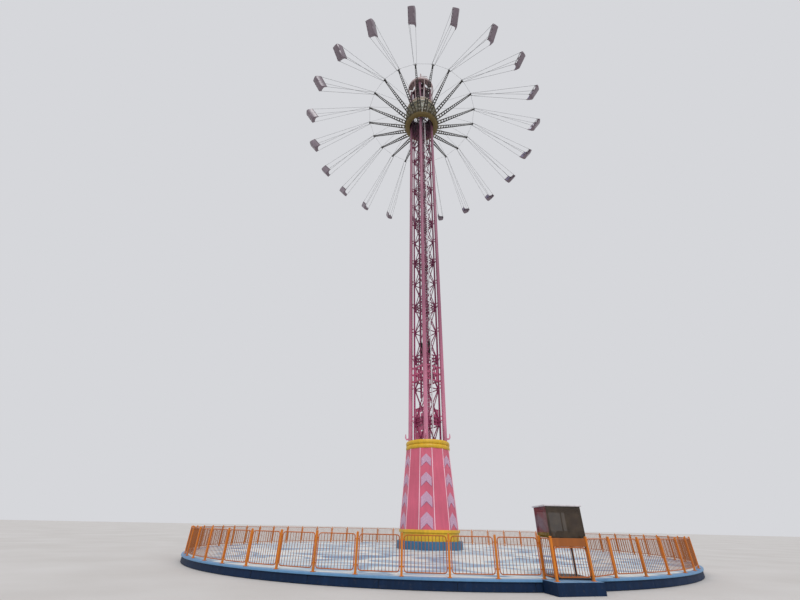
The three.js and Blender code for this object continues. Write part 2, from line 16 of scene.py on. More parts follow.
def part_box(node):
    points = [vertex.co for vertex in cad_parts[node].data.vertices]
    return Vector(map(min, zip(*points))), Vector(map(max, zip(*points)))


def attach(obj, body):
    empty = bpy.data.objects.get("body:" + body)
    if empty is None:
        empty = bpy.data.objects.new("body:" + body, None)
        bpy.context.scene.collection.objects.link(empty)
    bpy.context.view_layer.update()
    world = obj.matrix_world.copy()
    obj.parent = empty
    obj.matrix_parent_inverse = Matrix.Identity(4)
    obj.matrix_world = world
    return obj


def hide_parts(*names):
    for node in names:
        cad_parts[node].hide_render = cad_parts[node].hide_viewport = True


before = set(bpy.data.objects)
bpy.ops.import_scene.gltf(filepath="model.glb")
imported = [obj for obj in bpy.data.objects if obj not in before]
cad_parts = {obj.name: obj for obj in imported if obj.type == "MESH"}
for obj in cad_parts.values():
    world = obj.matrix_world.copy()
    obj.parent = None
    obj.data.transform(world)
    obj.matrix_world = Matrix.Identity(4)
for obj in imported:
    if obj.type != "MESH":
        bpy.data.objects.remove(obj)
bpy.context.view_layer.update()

# %% [markdown]
# ## Camera
# The photograph was taken from the ground with a wide lens, looking up. The camera is built as the person
# who held it stood: a place, a heading, a tilt and a small roll. A match of the platform rim, the mast and
# the arm tips gave these numbers.

# %% Camera
CAMERA_AT = (1.105, -13.615, 0.81)
HEADING, TILT, ROLL = 9.16, 31.48, 1.23
SENSOR, LENS = 36.0, 16.594

lens = bpy.data.cameras.new("camera")
lens.sensor_width, lens.lens = SENSOR, LENS
lens.clip_end = 500
camera = bpy.data.objects.new("camera", lens)
bpy.context.scene.collection.objects.link(camera)
turn = Matrix.Rotation(math.radians(HEADING), 4, "Z") @ Matrix.Rotation(math.radians(90 + TILT), 4, "X")
camera.matrix_world = Matrix.Translation(CAMERA_AT) @ turn @ Matrix.Rotation(math.radians(ROLL), 4, "Z")
bpy.context.scene.camera = camera
print("camera looks along", [round(v, 3) for v in -camera.matrix_world.col[2].xyz])

# %% [markdown]
# ## Small tools
# Blender's operators act on what is selected, so everything is deselected before a new piece starts. A
# finished piece keeps its place in its mesh and its object stays at the origin, as the frame's own nodes
# do. Faces and edges are picked by a test of their place or direction, because nobody is there to click on
# them. Bars and tubes start as a cube and a cylinder between two points, and round shapes are drawn out
# from a circle.


# %% Select, name and settle
def deselect():
    if bpy.context.mode != "OBJECT":
        bpy.ops.object.mode_set(mode="OBJECT")
    bpy.ops.object.select_all(action="DESELECT")


def activate(*pieces):
    deselect()
    for piece in pieces:
        piece.select_set(True)
    bpy.context.view_layer.objects.active = pieces[0]


def settle(name):
    """Names the active object and moves its place, turn and scale into its mesh."""
    piece = bpy.context.object
    piece.name = piece.data.name = name
    bpy.ops.object.transform_apply(location=True, rotation=True, scale=True)
    return piece


def join(name, pieces):
    activate(*pieces)
    if len(pieces) > 1:
        bpy.ops.object.join()
    piece = bpy.context.object
    piece.name = piece.data.name = name
    return piece


# %% Modifiers
def apply_modifiers(piece):
    activate(piece)
    for modifier in list(piece.modifiers):
        bpy.ops.object.modifier_apply(modifier=modifier.name)


# %% In and out of edit mode
def open_mesh():
    """Edit mode with everything selected."""
    bpy.ops.object.mode_set(mode="EDIT")
    bpy.ops.mesh.select_all(action="SELECT")


def pick(piece, wanted, kind="polygons"):
    """Edit mode with only the faces, edges or vertices selected that pass a test."""
    open_mesh()
    bpy.ops.mesh.select_all(action="DESELECT")
    bpy.ops.object.mode_set(mode="OBJECT")
    for part in getattr(piece.data, kind):
        part.select = wanted(part)
    bpy.ops.object.mode_set(mode="EDIT")


def close_mesh(outward=True):
    """Object mode again; the faces are first turned outwards."""
    if outward:
        bpy.ops.mesh.select_all(action="SELECT")
        bpy.ops.mesh.normals_make_consistent(inside=False)
    bpy.ops.object.mode_set(mode="OBJECT")


def thicken(piece, thickness, offset=0.0, rounding=0.0, segments=1, angle=30):
    """Gives a sheet its wall with Solidify and rounds the wall's sharp edges with Bevel."""
    wall = piece.modifiers.new("wall", "SOLIDIFY")
    wall.thickness, wall.offset = thickness, offset
    if rounding:
        edge = piece.modifiers.new("edge", "BEVEL")
        edge.width, edge.segments = rounding, segments
        edge.limit_method, edge.angle_limit = "ANGLE", math.radians(angle)
    apply_modifiers(piece)


print("mode before the first piece:", bpy.context.mode)

# %% Copies
def copy_at(piece, place):
    """A copy of a modelled piece, with its own mesh, moved by a matrix."""
    twin = piece.copy()
    twin.data = piece.data.copy()
    twin.data.transform(place)
    bpy.context.scene.collection.objects.link(twin)
    return twin


def about_mast(angle):
    """Matrix that turns a piece about the mast, from the front towards the right."""
    return Matrix.Rotation(math.radians(angle), 4, "Z")


def ring_of(piece, name, angles):
    """Turns copies of a piece about the mast and joins them; the piece itself is used up."""
    twins = [copy_at(piece, about_mast(a)) for a in angles]
    bpy.data.objects.remove(piece)
    return join(name, twins)


def polar(radius, angle, height):
    a = math.radians(angle)
    return Vector((radius * math.sin(a), -radius * math.cos(a), height))


print("30 degrees from the front lies", [round(v, 3) for v in polar(1, 30, 0)])


# %% Bars and tubes
def soften(width, segments=1):
    """Rounds every edge of the active piece."""
    if width <= 0:
        return
    open_mesh()
    bpy.ops.mesh.bevel(offset=width, segments=segments, affect="EDGES")
    close_mesh(outward=False)


def block(name, size, at, bevel=0.0, turn=(0, 0, 0)):
    deselect()
    bpy.ops.mesh.primitive_cube_add(size=1, location=at, rotation=turn)
    bpy.context.object.scale = size
    piece = settle(name)
    soften(bevel)
    return piece


def turn_along(start, end, side):
    along = (Vector(end) - Vector(start)).normalized()
    across = Vector(side).cross(along).normalized()
    return Matrix((across, along.cross(across), along)).transposed().to_euler()


def bar(start, end, across, along_side, side=(0, 1, 0), bevel=0.0):
    """Straight bar; along_side is its size towards side, across is its other width."""
    start, end = Vector(start), Vector(end)
    size = (across, along_side, (end - start).length)
    return block("bar", size, (start + end) / 2, bevel, turn_along(start, end, side))


def tube(start, end, radius, sides=12):
    start, end = Vector(start), Vector(end)
    side = (1, 0, 0) if abs((end - start).normalized().x) < 0.9 else (0, 1, 0)
    deselect()
    bpy.ops.mesh.primitive_cylinder_add(vertices=sides, radius=radius, depth=(end - start).length,
                                        location=(start + end) / 2, rotation=turn_along(start, end, side))
    return settle("tube")


brace_turn = turn_along((0, 0, 0), (1, 0, 1), (0, 1, 0))
print("a brace at 45 degrees is turned by", [round(math.degrees(a)) for a in brace_turn])


# %% Turned shapes
def turned(name, profile, sides, closed=True):
    """Round shape about the mast: a circle is drawn out and resized from one profile point to the next."""
    radius, height = profile[0]
    deselect()
    bpy.ops.mesh.primitive_circle_add(vertices=sides, radius=radius, location=(0, 0, 0))
    open_mesh()
    bpy.ops.transform.translate(value=(0, 0, height))
    for (r0, z0), (r1, z1) in zip(profile, profile[1:]):
        bpy.ops.mesh.extrude_region_move(TRANSFORM_OT_translate={"value": (0, 0, z1 - z0)})
        bpy.ops.transform.resize(value=(r1 / r0, r1 / r0, 1), center_override=(0, 0, z1))
    if closed:
        bpy.ops.mesh.select_non_manifold()
        bpy.ops.mesh.bridge_edge_loops()
    close_mesh()
    return settle(name)


def smooth(piece, angle=35):
    activate(piece)
    bpy.ops.object.shade_smooth_by_angle(angle=math.radians(angle))
    return piece


# %% [markdown]
# ## Finishes
# Every surface of the ride is painted steel or glass fibre that stands outdoors. One paint function does
# most of it: the colour drifts softly between two tones, rain leaves faint upright streaks, dirt gathers in
# specks, and the gloss and the fine bumps follow noise too. The mast, the guide tubes and the arms have a
# second kind of paint, whose tone changes with the height or with the distance from the mast: its dark
# upper and outer tones are painted shade, the shade under and inside the gondola and the head, and under
# the arms.


# %% Node helpers
def new_material(name):
    material = bpy.data.materials.new(name)
    material.use_nodes = True
    tree = material.node_tree
    return material, tree, tree.nodes["Principled BSDF"]


def node(tree, kind, values=None, **links):
    """Adds a node; values set its own sockets and links join sockets of others to it."""
    item = tree.nodes.new(kind)
    for key, value in (values or {}).items():
        if key in item.inputs:
            item.inputs[key].default_value = value
        else:
            setattr(item, key, value)
    for key, source in links.items():
        tree.links.new(source, item.inputs[key.replace("_", " ")])
    return item


def object_coordinates(tree, scale=(1, 1, 1), centre=(0, 0, 0)):
    place = tree.nodes.new("ShaderNodeTexCoord")
    return node(tree, "ShaderNodeMapping", {"Scale": scale, "Location": centre},
                Vector=place.outputs["Object"]).outputs["Vector"]


def noise(tree, vector, scale, detail=3.0):
    return node(tree, "ShaderNodeTexNoise", {"Scale": scale, "Detail": detail}, Vector=vector).outputs["Fac"]


def steps(tree, value, stops):
    """Colour ramp from (position, colour) stops."""
    ramp = node(tree, "ShaderNodeValToRGB", {}, Fac=value)
    points = ramp.color_ramp.elements
    while len(points) < len(stops):
        points.new(0.5)
    for point, (position, color) in zip(points, stops):
        point.position = position
        point.color = (*color, 1)
    return ramp.outputs["Color"]


def blend(tree, amount, first, second, mode="MIX"):
    """Mixes two colours; each is a colour or a socket, and amount is a number or a socket."""
    item = node(tree, "ShaderNodeMix", {"data_type": "RGBA", "blend_type": mode})
    for index, value in ((0, amount), (6, first), (7, second)):
        if isinstance(value, (int, float)):
            item.inputs[index].default_value = value
        elif isinstance(value, tuple):
            item.inputs[index].default_value = (*value, 1)
        else:
            tree.links.new(value, item.inputs[index])
    return item.outputs[2]


print("materials so far:", len(bpy.data.materials))


# %% Outdoor paint
def tint(color, factor):
    return tuple(min(1.0, c * factor) for c in color)


def weathered(tree, shader, color, tone=(0.88, 1.08), grime=0.25, gloss=(0.35, 0.55), bump=0.04):
    """Gives a base colour socket or value its streaks, grime, gloss and fine bumps."""
    around = object_coordinates(tree)
    upright = object_coordinates(tree, scale=(5, 5, 0.35))
    streaks = steps(tree, noise(tree, upright, 3.0, 4.0), [(0.35, (tone[0],) * 3), (0.7, (tone[1],) * 3)])
    streaked = blend(tree, 1.0, color, streaks, "MULTIPLY")
    specks = steps(tree, noise(tree, around, 26.0, 6.0), [(0.58, (0, 0, 0)), (0.74, (1, 1, 1))])
    amount = node(tree, "ShaderNodeMath", {"operation": "MULTIPLY"})
    tree.links.new(specks, amount.inputs[0])
    amount.inputs[1].default_value = grime
    dirty = blend(tree, amount.outputs[0], streaked, (0.09, 0.08, 0.07))
    tree.links.new(dirty, shader.inputs["Base Color"])
    rough = node(tree, "ShaderNodeMapRange", {"To Min": gloss[0], "To Max": gloss[1]},
                 Value=noise(tree, around, 7.0, 3.0))
    tree.links.new(rough.outputs["Result"], shader.inputs["Roughness"])
    fine = node(tree, "ShaderNodeBump", {"Strength": bump, "Distance": 0.01},
                Height=noise(tree, around, 60.0, 2.0))
    tree.links.new(fine.outputs["Normal"], shader.inputs["Normal"])


def paint(name, color, metal=0.0, **look):
    material, tree, shader = new_material(name)
    shader.inputs["Metallic"].default_value = metal
    drift = steps(tree, noise(tree, object_coordinates(tree), 1.3, 2.0),
                  [(0.3, tint(color, 0.9)), (0.7, tint(color, 1.08))])
    weathered(tree, shader, drift, **look)
    return material


def linear(red, green, blue):
    """Linear colour from the 0 to 255 values that a picture shows."""
    return tuple(((v / 255 + 0.055) / 1.055) ** 2.4 if v > 10 else v / 3294.6 for v in (red, green, blue))


print("a middle grey of 128 is", round(linear(128, 128, 128)[0], 3), "in linear light")

# %% Fading paint
FADE_REACH = 26.0


def graded_shade_paint(name, stops, across=False, **look):
    """Outdoor paint whose tone follows (metres, colour) stops with height, or with distance from the mast;
    the stops carry painted shade.
    """
    material, tree, shader = new_material(name)
    place = object_coordinates(tree)
    if across:
        flat = node(tree, "ShaderNodeMapping", {"Scale": (1, 1, 0)}, Vector=place).outputs["Vector"]
        metres = node(tree, "ShaderNodeVectorMath", {"operation": "LENGTH"})
        tree.links.new(flat, metres.inputs[0])
        metres = metres.outputs["Value"]
    else:
        metres = node(tree, "ShaderNodeSeparateXYZ", Vector=place).outputs["Z"]
    share = node(tree, "ShaderNodeMapRange", {"From Min": 0.0, "From Max": FADE_REACH}, Value=metres)
    graded_tone = steps(tree, share.outputs["Result"], [(reach / FADE_REACH, color) for reach, color in stops])
    drift = steps(tree, noise(tree, place, 1.3, 2.0), [(0.3, (0.9, 0.9, 0.9)), (0.7, (1.08, 1.08, 1.08))])
    weathered(tree, shader, blend(tree, 1.0, graded_tone, drift, "MULTIPLY"), **look)
    return material


# Mast and tube tones: lighter below 10 m, and darker from 19 m up, which is painted shade of the gondola and
# the head.
MAST_PINK = graded_shade_paint("mast_pink", [(4, linear(176, 78, 118)), (10, linear(134, 54, 90)),
                                       (19, linear(134, 54, 90)), (21, linear(98, 58, 80))])
# Darker copy of the mast pink for the two front sides: painted shade.
MAST_PINK_SHADED = graded_shade_paint("mast_pink_painted_shade", [(4, linear(142, 46, 86)), (10, linear(110, 36, 72)),
                                       (19, linear(110, 36, 72)), (21, linear(80, 44, 62))])
TUBE_PINK = graded_shade_paint("tube_pink", [(4.2, linear(214, 132, 158)), (9, linear(156, 90, 116)),
                                       (19, linear(148, 86, 110)), (21, linear(128, 82, 102))])
print("fading paints: 3, up to", FADE_REACH, "m")

# %% Plain paints
PANEL_PINK = paint("panel_pink", linear(190, 92, 126))
YELLOW = paint("ring_yellow", linear(222, 176, 36), grime=0.15)
PLINTH_BLUE = paint("plinth_blue", linear(54, 106, 142))
SKIRTING_BLUE = paint("skirting_blue", linear(6, 37, 70), tone=(0.8, 1.12), gloss=(0.55, 0.75))
skirting_shader = SKIRTING_BLUE.node_tree.nodes["Principled BSDF"]
skirting_shader.inputs["Specular IOR Level"].default_value = 0.25
# One fence orange in three tones: the posts' is lighter, painted light, the frames' is the paint's own tone,
# and the bars' is darker, painted shade.
POST_ORANGE_LIT = paint("fence_orange", linear(214, 122, 18), grime=0.18, gloss=(0.3, 0.45))
FRAME_ORANGE = paint("frame_orange", linear(188, 98, 22), grime=0.2, gloss=(0.3, 0.45))
BAR_ORANGE_SHADED = paint("bar_orange_painted_shade", linear(156, 86, 24), grime=0.2, gloss=(0.35, 0.5))
OLIVE = paint("gondola_olive", linear(112, 94, 48))
CREST = paint("gondola_crest", linear(176, 160, 140))
CROWN_BROWN = paint("crown_brown", linear(168, 144, 144))
PALE = paint("pale_paint", linear(214, 210, 214), grime=0.2)
BOOTH_BROWN = paint("booth_brown", linear(62, 38, 30), gloss=(0.3, 0.5))
STEEL = paint("rope_steel", linear(104, 104, 108), metal=0.6, gloss=(0.3, 0.5))
DARK_STEEL = paint("dark_steel", linear(54, 48, 48), metal=0.3, gloss=(0.35, 0.55))
SEAT_SHELL = paint("seat_shell", linear(130, 116, 126), grime=0.2, gloss=(0.22, 0.4))
SEAT_PANEL = paint("seat_panel", linear(116, 106, 142), grime=0.2, gloss=(0.22, 0.4))
print("materials with the plain paints:", len(bpy.data.materials))

# %% [markdown]
# ## Platform
# The platform is a low drum of dark blue skirting plates under a painted deck. The plates are curved sheets
# side by side, with a dark joint between them. One plate is an upright edge spun through ten degrees; a
# Solidify modifier gives it its thickness, and copies go round the rim.


# %% Curved plate
def curved_plate(radius, low, high, degrees, thickness, spin_steps=6):
    """Upright sheet bent about the mast, centred on the front."""
    deselect()
    bpy.ops.mesh.primitive_plane_add(size=1, rotation=(math.pi / 2, 0, 0))
    piece = settle("curved_plate")
    open_mesh()
    bpy.ops.transform.resize(value=(0, 1, high - low), center_override=(0, 0, 0))
    bpy.ops.mesh.remove_doubles(threshold=0.0001)
    bpy.ops.transform.translate(value=(0, -radius, (low + high) / 2))
    bpy.ops.mesh.spin(steps=spin_steps, angle=math.radians(degrees), center=(0, 0, 0), axis=(0, 0, 1))
    close_mesh()
    piece.data.transform(about_mast(-math.copysign(degrees / 2, piece.data.vertices[-1].co.x)))
    thicken(piece, thickness, rounding=thickness / 4)
    return piece


RIM_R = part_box("platform_base")[1][0]
RIM_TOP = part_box("platform_base")[1][2]
print("platform radius", round(RIM_R, 3), "and height", round(RIM_TOP, 3))

# %% Skirting plates
PLATES = 36
PLATE_ANGLE = 360 / PLATES
SKIN = 0.008

plate = curved_plate(RIM_R + SKIN / 2, 0.004, RIM_TOP - 0.004, PLATE_ANGLE - 0.06, SKIN)
skirting = ring_of(plate, "skirting_plates", [PLATE_ANGLE * k + 3.0 for k in range(PLATES)])
skirting.data.materials.append(SKIRTING_BLUE)
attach(skirting, "base")
smooth(skirting)

JOINT_DARK = paint("joint_dark", linear(24, 34, 48))
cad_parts["platform_base"].data.materials[0] = JOINT_DARK
print("skirting plates:", PLATES, "with", len(skirting.data.polygons), "faces")

# %% [markdown]
# ## Painted deck
# The deck is sheet steel painted like water: long white crests between pale and middle blue, with a light
# blue band along the rim. The crests come from a stretched, distorted noise cut into bands, and the rim
# band from the distance to the mast. Faint streaks and specks of dirt finish it.


# %% Water paint
def radius_socket(tree):
    flat = object_coordinates(tree, scale=(1, 1, 0))
    return node(tree, "ShaderNodeVectorMath", {"operation": "LENGTH"}, Vector=flat).outputs["Value"]


def deck_paint():
    material, tree, shader = new_material("deck_waves")
    shader.inputs["Specular IOR Level"].default_value = 0.4
    flat = object_coordinates(tree, scale=(0.55, 0.95, 1))
    waves = node(tree, "ShaderNodeTexNoise", {"Scale": 0.62, "Detail": 2.0, "Distortion": 1.1}, Vector=flat)
    white, pale = linear(220, 223, 222), linear(174, 194, 208)
    middle, deep = linear(122, 152, 182), linear(98, 132, 168)
    bands = steps(tree, waves.outputs["Fac"], [
        (0.3, middle), (0.36, deep), (0.4, pale), (0.44, white), (0.5, white), (0.53, pale), (0.57, middle),
        (0.6, pale), (0.64, white)])
    rim = node(tree, "ShaderNodeMapRange", {"From Min": 6.66, "From Max": 6.7}, Value=radius_socket(tree))
    with_rim = blend(tree, rim.outputs["Result"], bands, linear(98, 146, 188))
    weathered(tree, shader, with_rim, tone=(0.93, 1.04), grime=0.12, gloss=(0.35, 0.6), bump=0.06)
    return material


DECK = deck_paint()
print("deck paint has", len(DECK.node_tree.nodes), "nodes")

# %% Deck
deck_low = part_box("platform_deck")[0][2]
deck_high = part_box("platform_deck")[1][2]
DECK_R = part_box("platform_deck")[1][0]
DECK_Z = 0.157
LIP = 0.004

deck = turned("deck", [(1.0, deck_low), (DECK_R - LIP, deck_low), (DECK_R, deck_low + LIP),
                       (DECK_R, DECK_Z - LIP), (DECK_R - LIP, DECK_Z), (5.5, DECK_Z), (1.1, deck_high),
                       (1.0, deck_high)], 180)
deck.data.materials.append(DECK)
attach(deck, "base")
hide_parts("platform_deck")
smooth(deck, 20)
print("deck radius", round(DECK_R, 3), "and edge height", DECK_Z)

# %% Step pad
pad_top_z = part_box("step_pad")[1][2]
PAD_TURN = math.radians(22.3)
PAD_W, PAD_D = 0.785, 0.335
pad_corner = Vector((2.349, -6.781, 0))
pad_across = Vector((math.cos(PAD_TURN), math.sin(PAD_TURN), 0))
pad_inward = Vector((-pad_across.y, pad_across.x, 0))
pad_top = block("step_pad_top", (PAD_W, PAD_D, 0.003), (0, 0, 0), 0.001)
place = Matrix.Translation(pad_corner + pad_across * PAD_W / 2 + pad_inward * PAD_D / 2
                           + Vector((0, 0, pad_top_z + 0.0018)))
pad_top.data.transform(place @ Matrix.Rotation(PAD_TURN, 4, "Z"))
pad_top.data.materials.append(DECK)
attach(pad_top, "base")
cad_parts["step_pad"].data.materials[0] = SKIRTING_BLUE
print("step pad", PAD_W, "by", PAD_D)

# %% [markdown]
# ## Plinth and yellow base ring
# Both are turned shapes: a circle drawn out along a profile, as a potter raises a wall. The bolts on the
# plinth, round the foot of the ring, are one hexagon head copied round.

# %% Plinth
PLINTH_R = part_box("plinth")[1][0]
plinth_z0, plinth_z1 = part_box("plinth")[0][2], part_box("plinth")[1][2]
plinth = turned("plinth_drum", [(0.8, plinth_z0), (PLINTH_R, plinth_z0), (PLINTH_R, plinth_z1 - 0.008),
                                (PLINTH_R - 0.008, plinth_z1), (0.8, plinth_z1)], 96)
plinth.data.materials.append(PLINTH_BLUE)
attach(plinth, "base")
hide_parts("plinth")
smooth(plinth)
print("plinth radius", round(PLINTH_R, 3))

# %% Base ring
ring_z0, ring_z1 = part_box("base_ring")[0][2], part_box("base_ring")[1][2]
LIP_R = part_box("base_ring")[1][0]
WALL_R = LIP_R - 0.035
ring = turned("base_band", [(0.8, ring_z0), (WALL_R, ring_z0), (WALL_R, ring_z1 - 0.09),
                            (LIP_R - 0.005, ring_z1 - 0.075), (LIP_R, ring_z1 - 0.068),
                            (LIP_R, ring_z1 - 0.008), (LIP_R - 0.008, ring_z1), (0.8, ring_z1)], 96)
ring.data.materials.append(YELLOW)
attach(ring, "base")
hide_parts("base_ring")
smooth(ring)
print("base ring radius", round(LIP_R, 3))

# %% Plinth bolts
deselect()
bpy.ops.mesh.primitive_cylinder_add(vertices=6, radius=0.014, depth=0.02,
                                    location=(0, -WALL_R - 0.05, plinth_z1))
bolt = settle("bolt")
soften(0.002)
BOLTS = 18
bolts = ring_of(bolt, "plinth_bolts", [10 + 20 * k for k in range(BOLTS)])
bolts.data.materials.append(DARK_STEEL)
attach(bolts, "base")
print("plinth bolts", BOLTS)

# %% [markdown]
# ## Tapered skirt
# Twelve flat salmon panels lean in towards the top, with a pale strip over each joint. Every second panel
# carries four lilac arrows that point up and get larger towards the ground. An arrow is a grid of two faces
# whose middle edge is pulled up, then given thickness and laid on the panel.

# %% Skirt strips
SKIRT_LOW, SKIRT_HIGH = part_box("skirt")[0][2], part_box("skirt")[1][2]
SKIRT_FOOT, SKIRT_HEAD = 0.9, 0.7175
CORNER = 1 / math.cos(math.radians(15))

SALMON = paint("skirt_salmon", linear(208, 95, 119), tone=(0.94, 1.06), grime=0.1)
STRIP = paint("strip_pale", linear(244, 202, 214), grime=0.08)
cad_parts["skirt"].data.materials[0] = SALMON

strip = bar((0, -SKIRT_FOOT * CORNER - 0.002, SKIRT_LOW), (0, -SKIRT_HEAD * CORNER - 0.002, SKIRT_HIGH),
            0.022, 0.014, bevel=0.003)
strips = ring_of(strip, "skirt_strips", [15 + 30 * k for k in range(12)])
strips.data.materials.append(STRIP)
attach(strips, "base")
print("skirt strips have", len(strips.data.polygons), "faces")

# %% Arrow shape
ARROW_APEX, ARROW_PITCH = 1.19, 0.5525
slope = Vector((0, SKIRT_FOOT - SKIRT_HEAD, SKIRT_HIGH - SKIRT_LOW)).normalized()
outward = Vector((1, 0, 0)).cross(slope)


def panel_place(height, proud):
    """Matrix that lays a flat shape, drawn in x and y, on the front panel at that height."""
    share = (height - SKIRT_LOW) / (SKIRT_HIGH - SKIRT_LOW)
    at = Vector((0, -SKIRT_FOOT + (SKIRT_FOOT - SKIRT_HEAD) * share, height)) + outward * proud
    return Matrix.Translation(at) @ Matrix((Vector((1, 0, 0)), slope, outward)).transposed().to_4x4()


def arrow(width, thick, rise, thickness, material):
    """Arrow with its point at the origin."""
    deselect()
    bpy.ops.mesh.primitive_grid_add(x_subdivisions=2, y_subdivisions=1, size=1)
    piece = settle("arrow")
    piece.data.transform(Matrix.Diagonal((width, thick, 1, 1)))
    pick(piece, lambda vertex: abs(vertex.co.x) < width * 0.1, "vertices")
    bpy.ops.transform.translate(value=(0, rise, 0))
    bpy.ops.mesh.select_all(action="SELECT")
    bpy.ops.transform.translate(value=(0, -thick / 2 - rise, 0))
    close_mesh(outward=False)
    thicken(piece, thickness, offset=1)
    piece.data.materials.append(material)
    return piece


print("the panels lean in by", round(math.degrees(math.atan2(slope.y, slope.z)), 2), "degrees")


# %% Arrow paint
def lace_paint():
    """Lilac with rows of small pale dots, drawn on the arrow's own map."""
    material, tree, shader = new_material("arrow_lilac")
    own = tree.nodes.new("ShaderNodeTexCoord")
    stretched = node(tree, "ShaderNodeMapping", {"Scale": (1.0, 0.62, 1)}, Vector=own.outputs["UV"])
    dots = node(tree, "ShaderNodeTexVoronoi", {"Scale": 13.0, "Randomness": 0.0, "voronoi_dimensions": "2D"},
                Vector=stretched.outputs["Vector"])
    spots = steps(tree, dots.outputs["Distance"],
                  [(0.27, linear(228, 200, 216)), (0.36, linear(182, 130, 162))])
    weathered(tree, shader, spots, tone=(0.95, 1.04), grime=0.08)
    return material


LILAC = lace_paint()
PURPLE = paint("arrow_purple", linear(120, 66, 112), grime=0.1)
print("arrow paint has", len(LILAC.node_tree.nodes), "nodes")

# %% Arrows on the panels
arrows = {"skirt_arrows": [], "arrow_borders": []}
for k in range(4):
    apex = ARROW_APEX + ARROW_PITCH * k
    half = SKIRT_FOOT + (SKIRT_HEAD - SKIRT_FOOT) * (apex - SKIRT_LOW) / (SKIRT_HIGH - SKIRT_LOW)
    width = 0.8 * 2 * half * math.tan(math.radians(15))
    thick = 0.295 - 0.0185 * k
    rise = 0.175 - 0.008 * k
    face = arrow(width, thick, rise, 0.005, LILAC)
    face.data.transform(panel_place(apex, 0.001))
    arrows["skirt_arrows"].append(face)
    border = arrow(width + 0.008, thick, rise, 0.003, PURPLE)
    border.data.transform(panel_place(apex - 0.014, 0.0005))
    arrows["arrow_borders"].append(border)
for label, shapes in arrows.items():
    all_round = ring_of(join(label, shapes), label, [60 * k for k in range(6)])
    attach(all_round, "base")
    print(label, "faces", len(all_round.data.polygons))

# %% Top ring
TOP_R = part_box("skirt_top_ring")[1][0]
top_low, top_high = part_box("skirt_top_ring")[0][2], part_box("skirt_top_ring")[1][2]


def lobes(radius, low, high, count, depth, points=7):
    """Outer profile of stacked rounded bands."""
    height = (high - low) / count
    line = []
    for lobe in range(count):
        for k in range(points + 1):
            a = math.pi * k / points
            line.append((radius - depth + depth * math.sin(a), low + height * (lobe + (1 - math.cos(a)) / 2)))
    return line


band_line = [(0.7, top_low)] + lobes(TOP_R, top_low, top_high, 2, 0.035) + [(0.7, top_high)]
top_ring = turned("top_bands", band_line, 96)
top_ring.data.materials.append(YELLOW)
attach(top_ring, "base")
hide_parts("skirt_top_ring")
smooth(top_ring, 50)
print("top ring radius", round(TOP_R, 3))

# %% [markdown]
# ## Lattice mast
# The mast is a square lattice with its corners to the front, right, back and left. Every bay has a pair of
# crossed braces between level bars, with gusset plates where they meet the chords. At every second bay the
# mast comes apart for transport, so there the chords carry bolted flanges and a second level bar. One bay
# is modelled with bars, an Array modifier repeats it up the mast, and the whole side is turned to its four
# places. The two sides on the left have a middle post as well, which guides a counterweight inside the
# mast.

# %% Mast sizes
MAST_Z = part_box("mast_side_right_front")[0][2]
MAST_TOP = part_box("mast_side_right_front")[1][2]
BAYS = 21
BAY = (MAST_TOP - MAST_Z) / BAYS
CORNER_R = 0.456
CHORD = 0.055
SIDE = CORNER_R / math.sqrt(2)
INNER = SIDE - CHORD / 2 - 0.0006
print("bay height", round(BAY, 4), "side plane", round(SIDE, 4))


# %% Plates with cut corners
def gusset(width, height, thick, at, cut):
    """Upright plate in the side's plane, its corners cut off by a bevel of its edges."""
    deselect()
    bpy.ops.mesh.primitive_cube_add(size=1, location=at)
    bpy.context.object.scale = (width, thick, height)
    piece = settle("gusset")

    def runs_through(edge):
        first, second = (piece.data.vertices[v].co for v in edge.vertices)
        return abs((first - second).normalized().y) > 0.99

    pick(piece, runs_through, "edges")
    bpy.ops.mesh.bevel(offset=cut, segments=1, affect="EDGES")
    close_mesh(outward=False)
    return piece


def level_bar(z, high, deep, x_low=None, x_high=None, y=0.0, bevel=0.002):
    """Level bar in the side's plane, from chord to chord unless its ends are given."""
    x_low, x_high = -INNER if x_low is None else x_low, INNER if x_high is None else x_high
    return bar((x_low, y - SIDE, z), (x_high, y - SIDE, z), high, deep, (0, -1, 0), bevel)


def upright(x, low, high, wide, deep, y=0.0, bevel=0.0):
    return bar((x, y - SIDE, low), (x, y - SIDE, high), wide, deep, (0, -1, 0), bevel)


def stack(piece, count, pitch):
    """Repeats a piece upwards with an Array modifier."""
    array = piece.modifiers.new("bays", "ARRAY")
    array.count = count
    array.use_relative_offset = False
    array.use_constant_offset = True
    array.constant_offset_displace = (0, 0, pitch)
    apply_modifiers(piece)
    return piece


print("level bars run from", round(-INNER, 3), "to", round(INNER, 3))


# %% One bay and one side
def bay():
    low, high = MAST_Z + 0.03, MAST_Z + BAY - 0.03
    middle = MAST_Z + BAY / 2
    reach = INNER - 0.012
    parts = [bar((-reach, -SIDE + 0.011, low), (reach, -SIDE + 0.011, high), 0.034, 0.02, (0, -1, 0), 0.002),
             bar((reach, -SIDE - 0.011, low), (-reach, -SIDE - 0.011, high), 0.034, 0.02, (0, -1, 0), 0.002),
             level_bar(MAST_Z, 0.032, 0.03),
             gusset(0.09, 0.09, 0.014, (0, -SIDE, middle), 0.02)]
    for side in (-1, 1):
        parts.append(gusset(0.07, 0.13, 0.012, (side * (INNER - 0.035), -SIDE, MAST_Z), 0.028))
    return join("bay", parts)


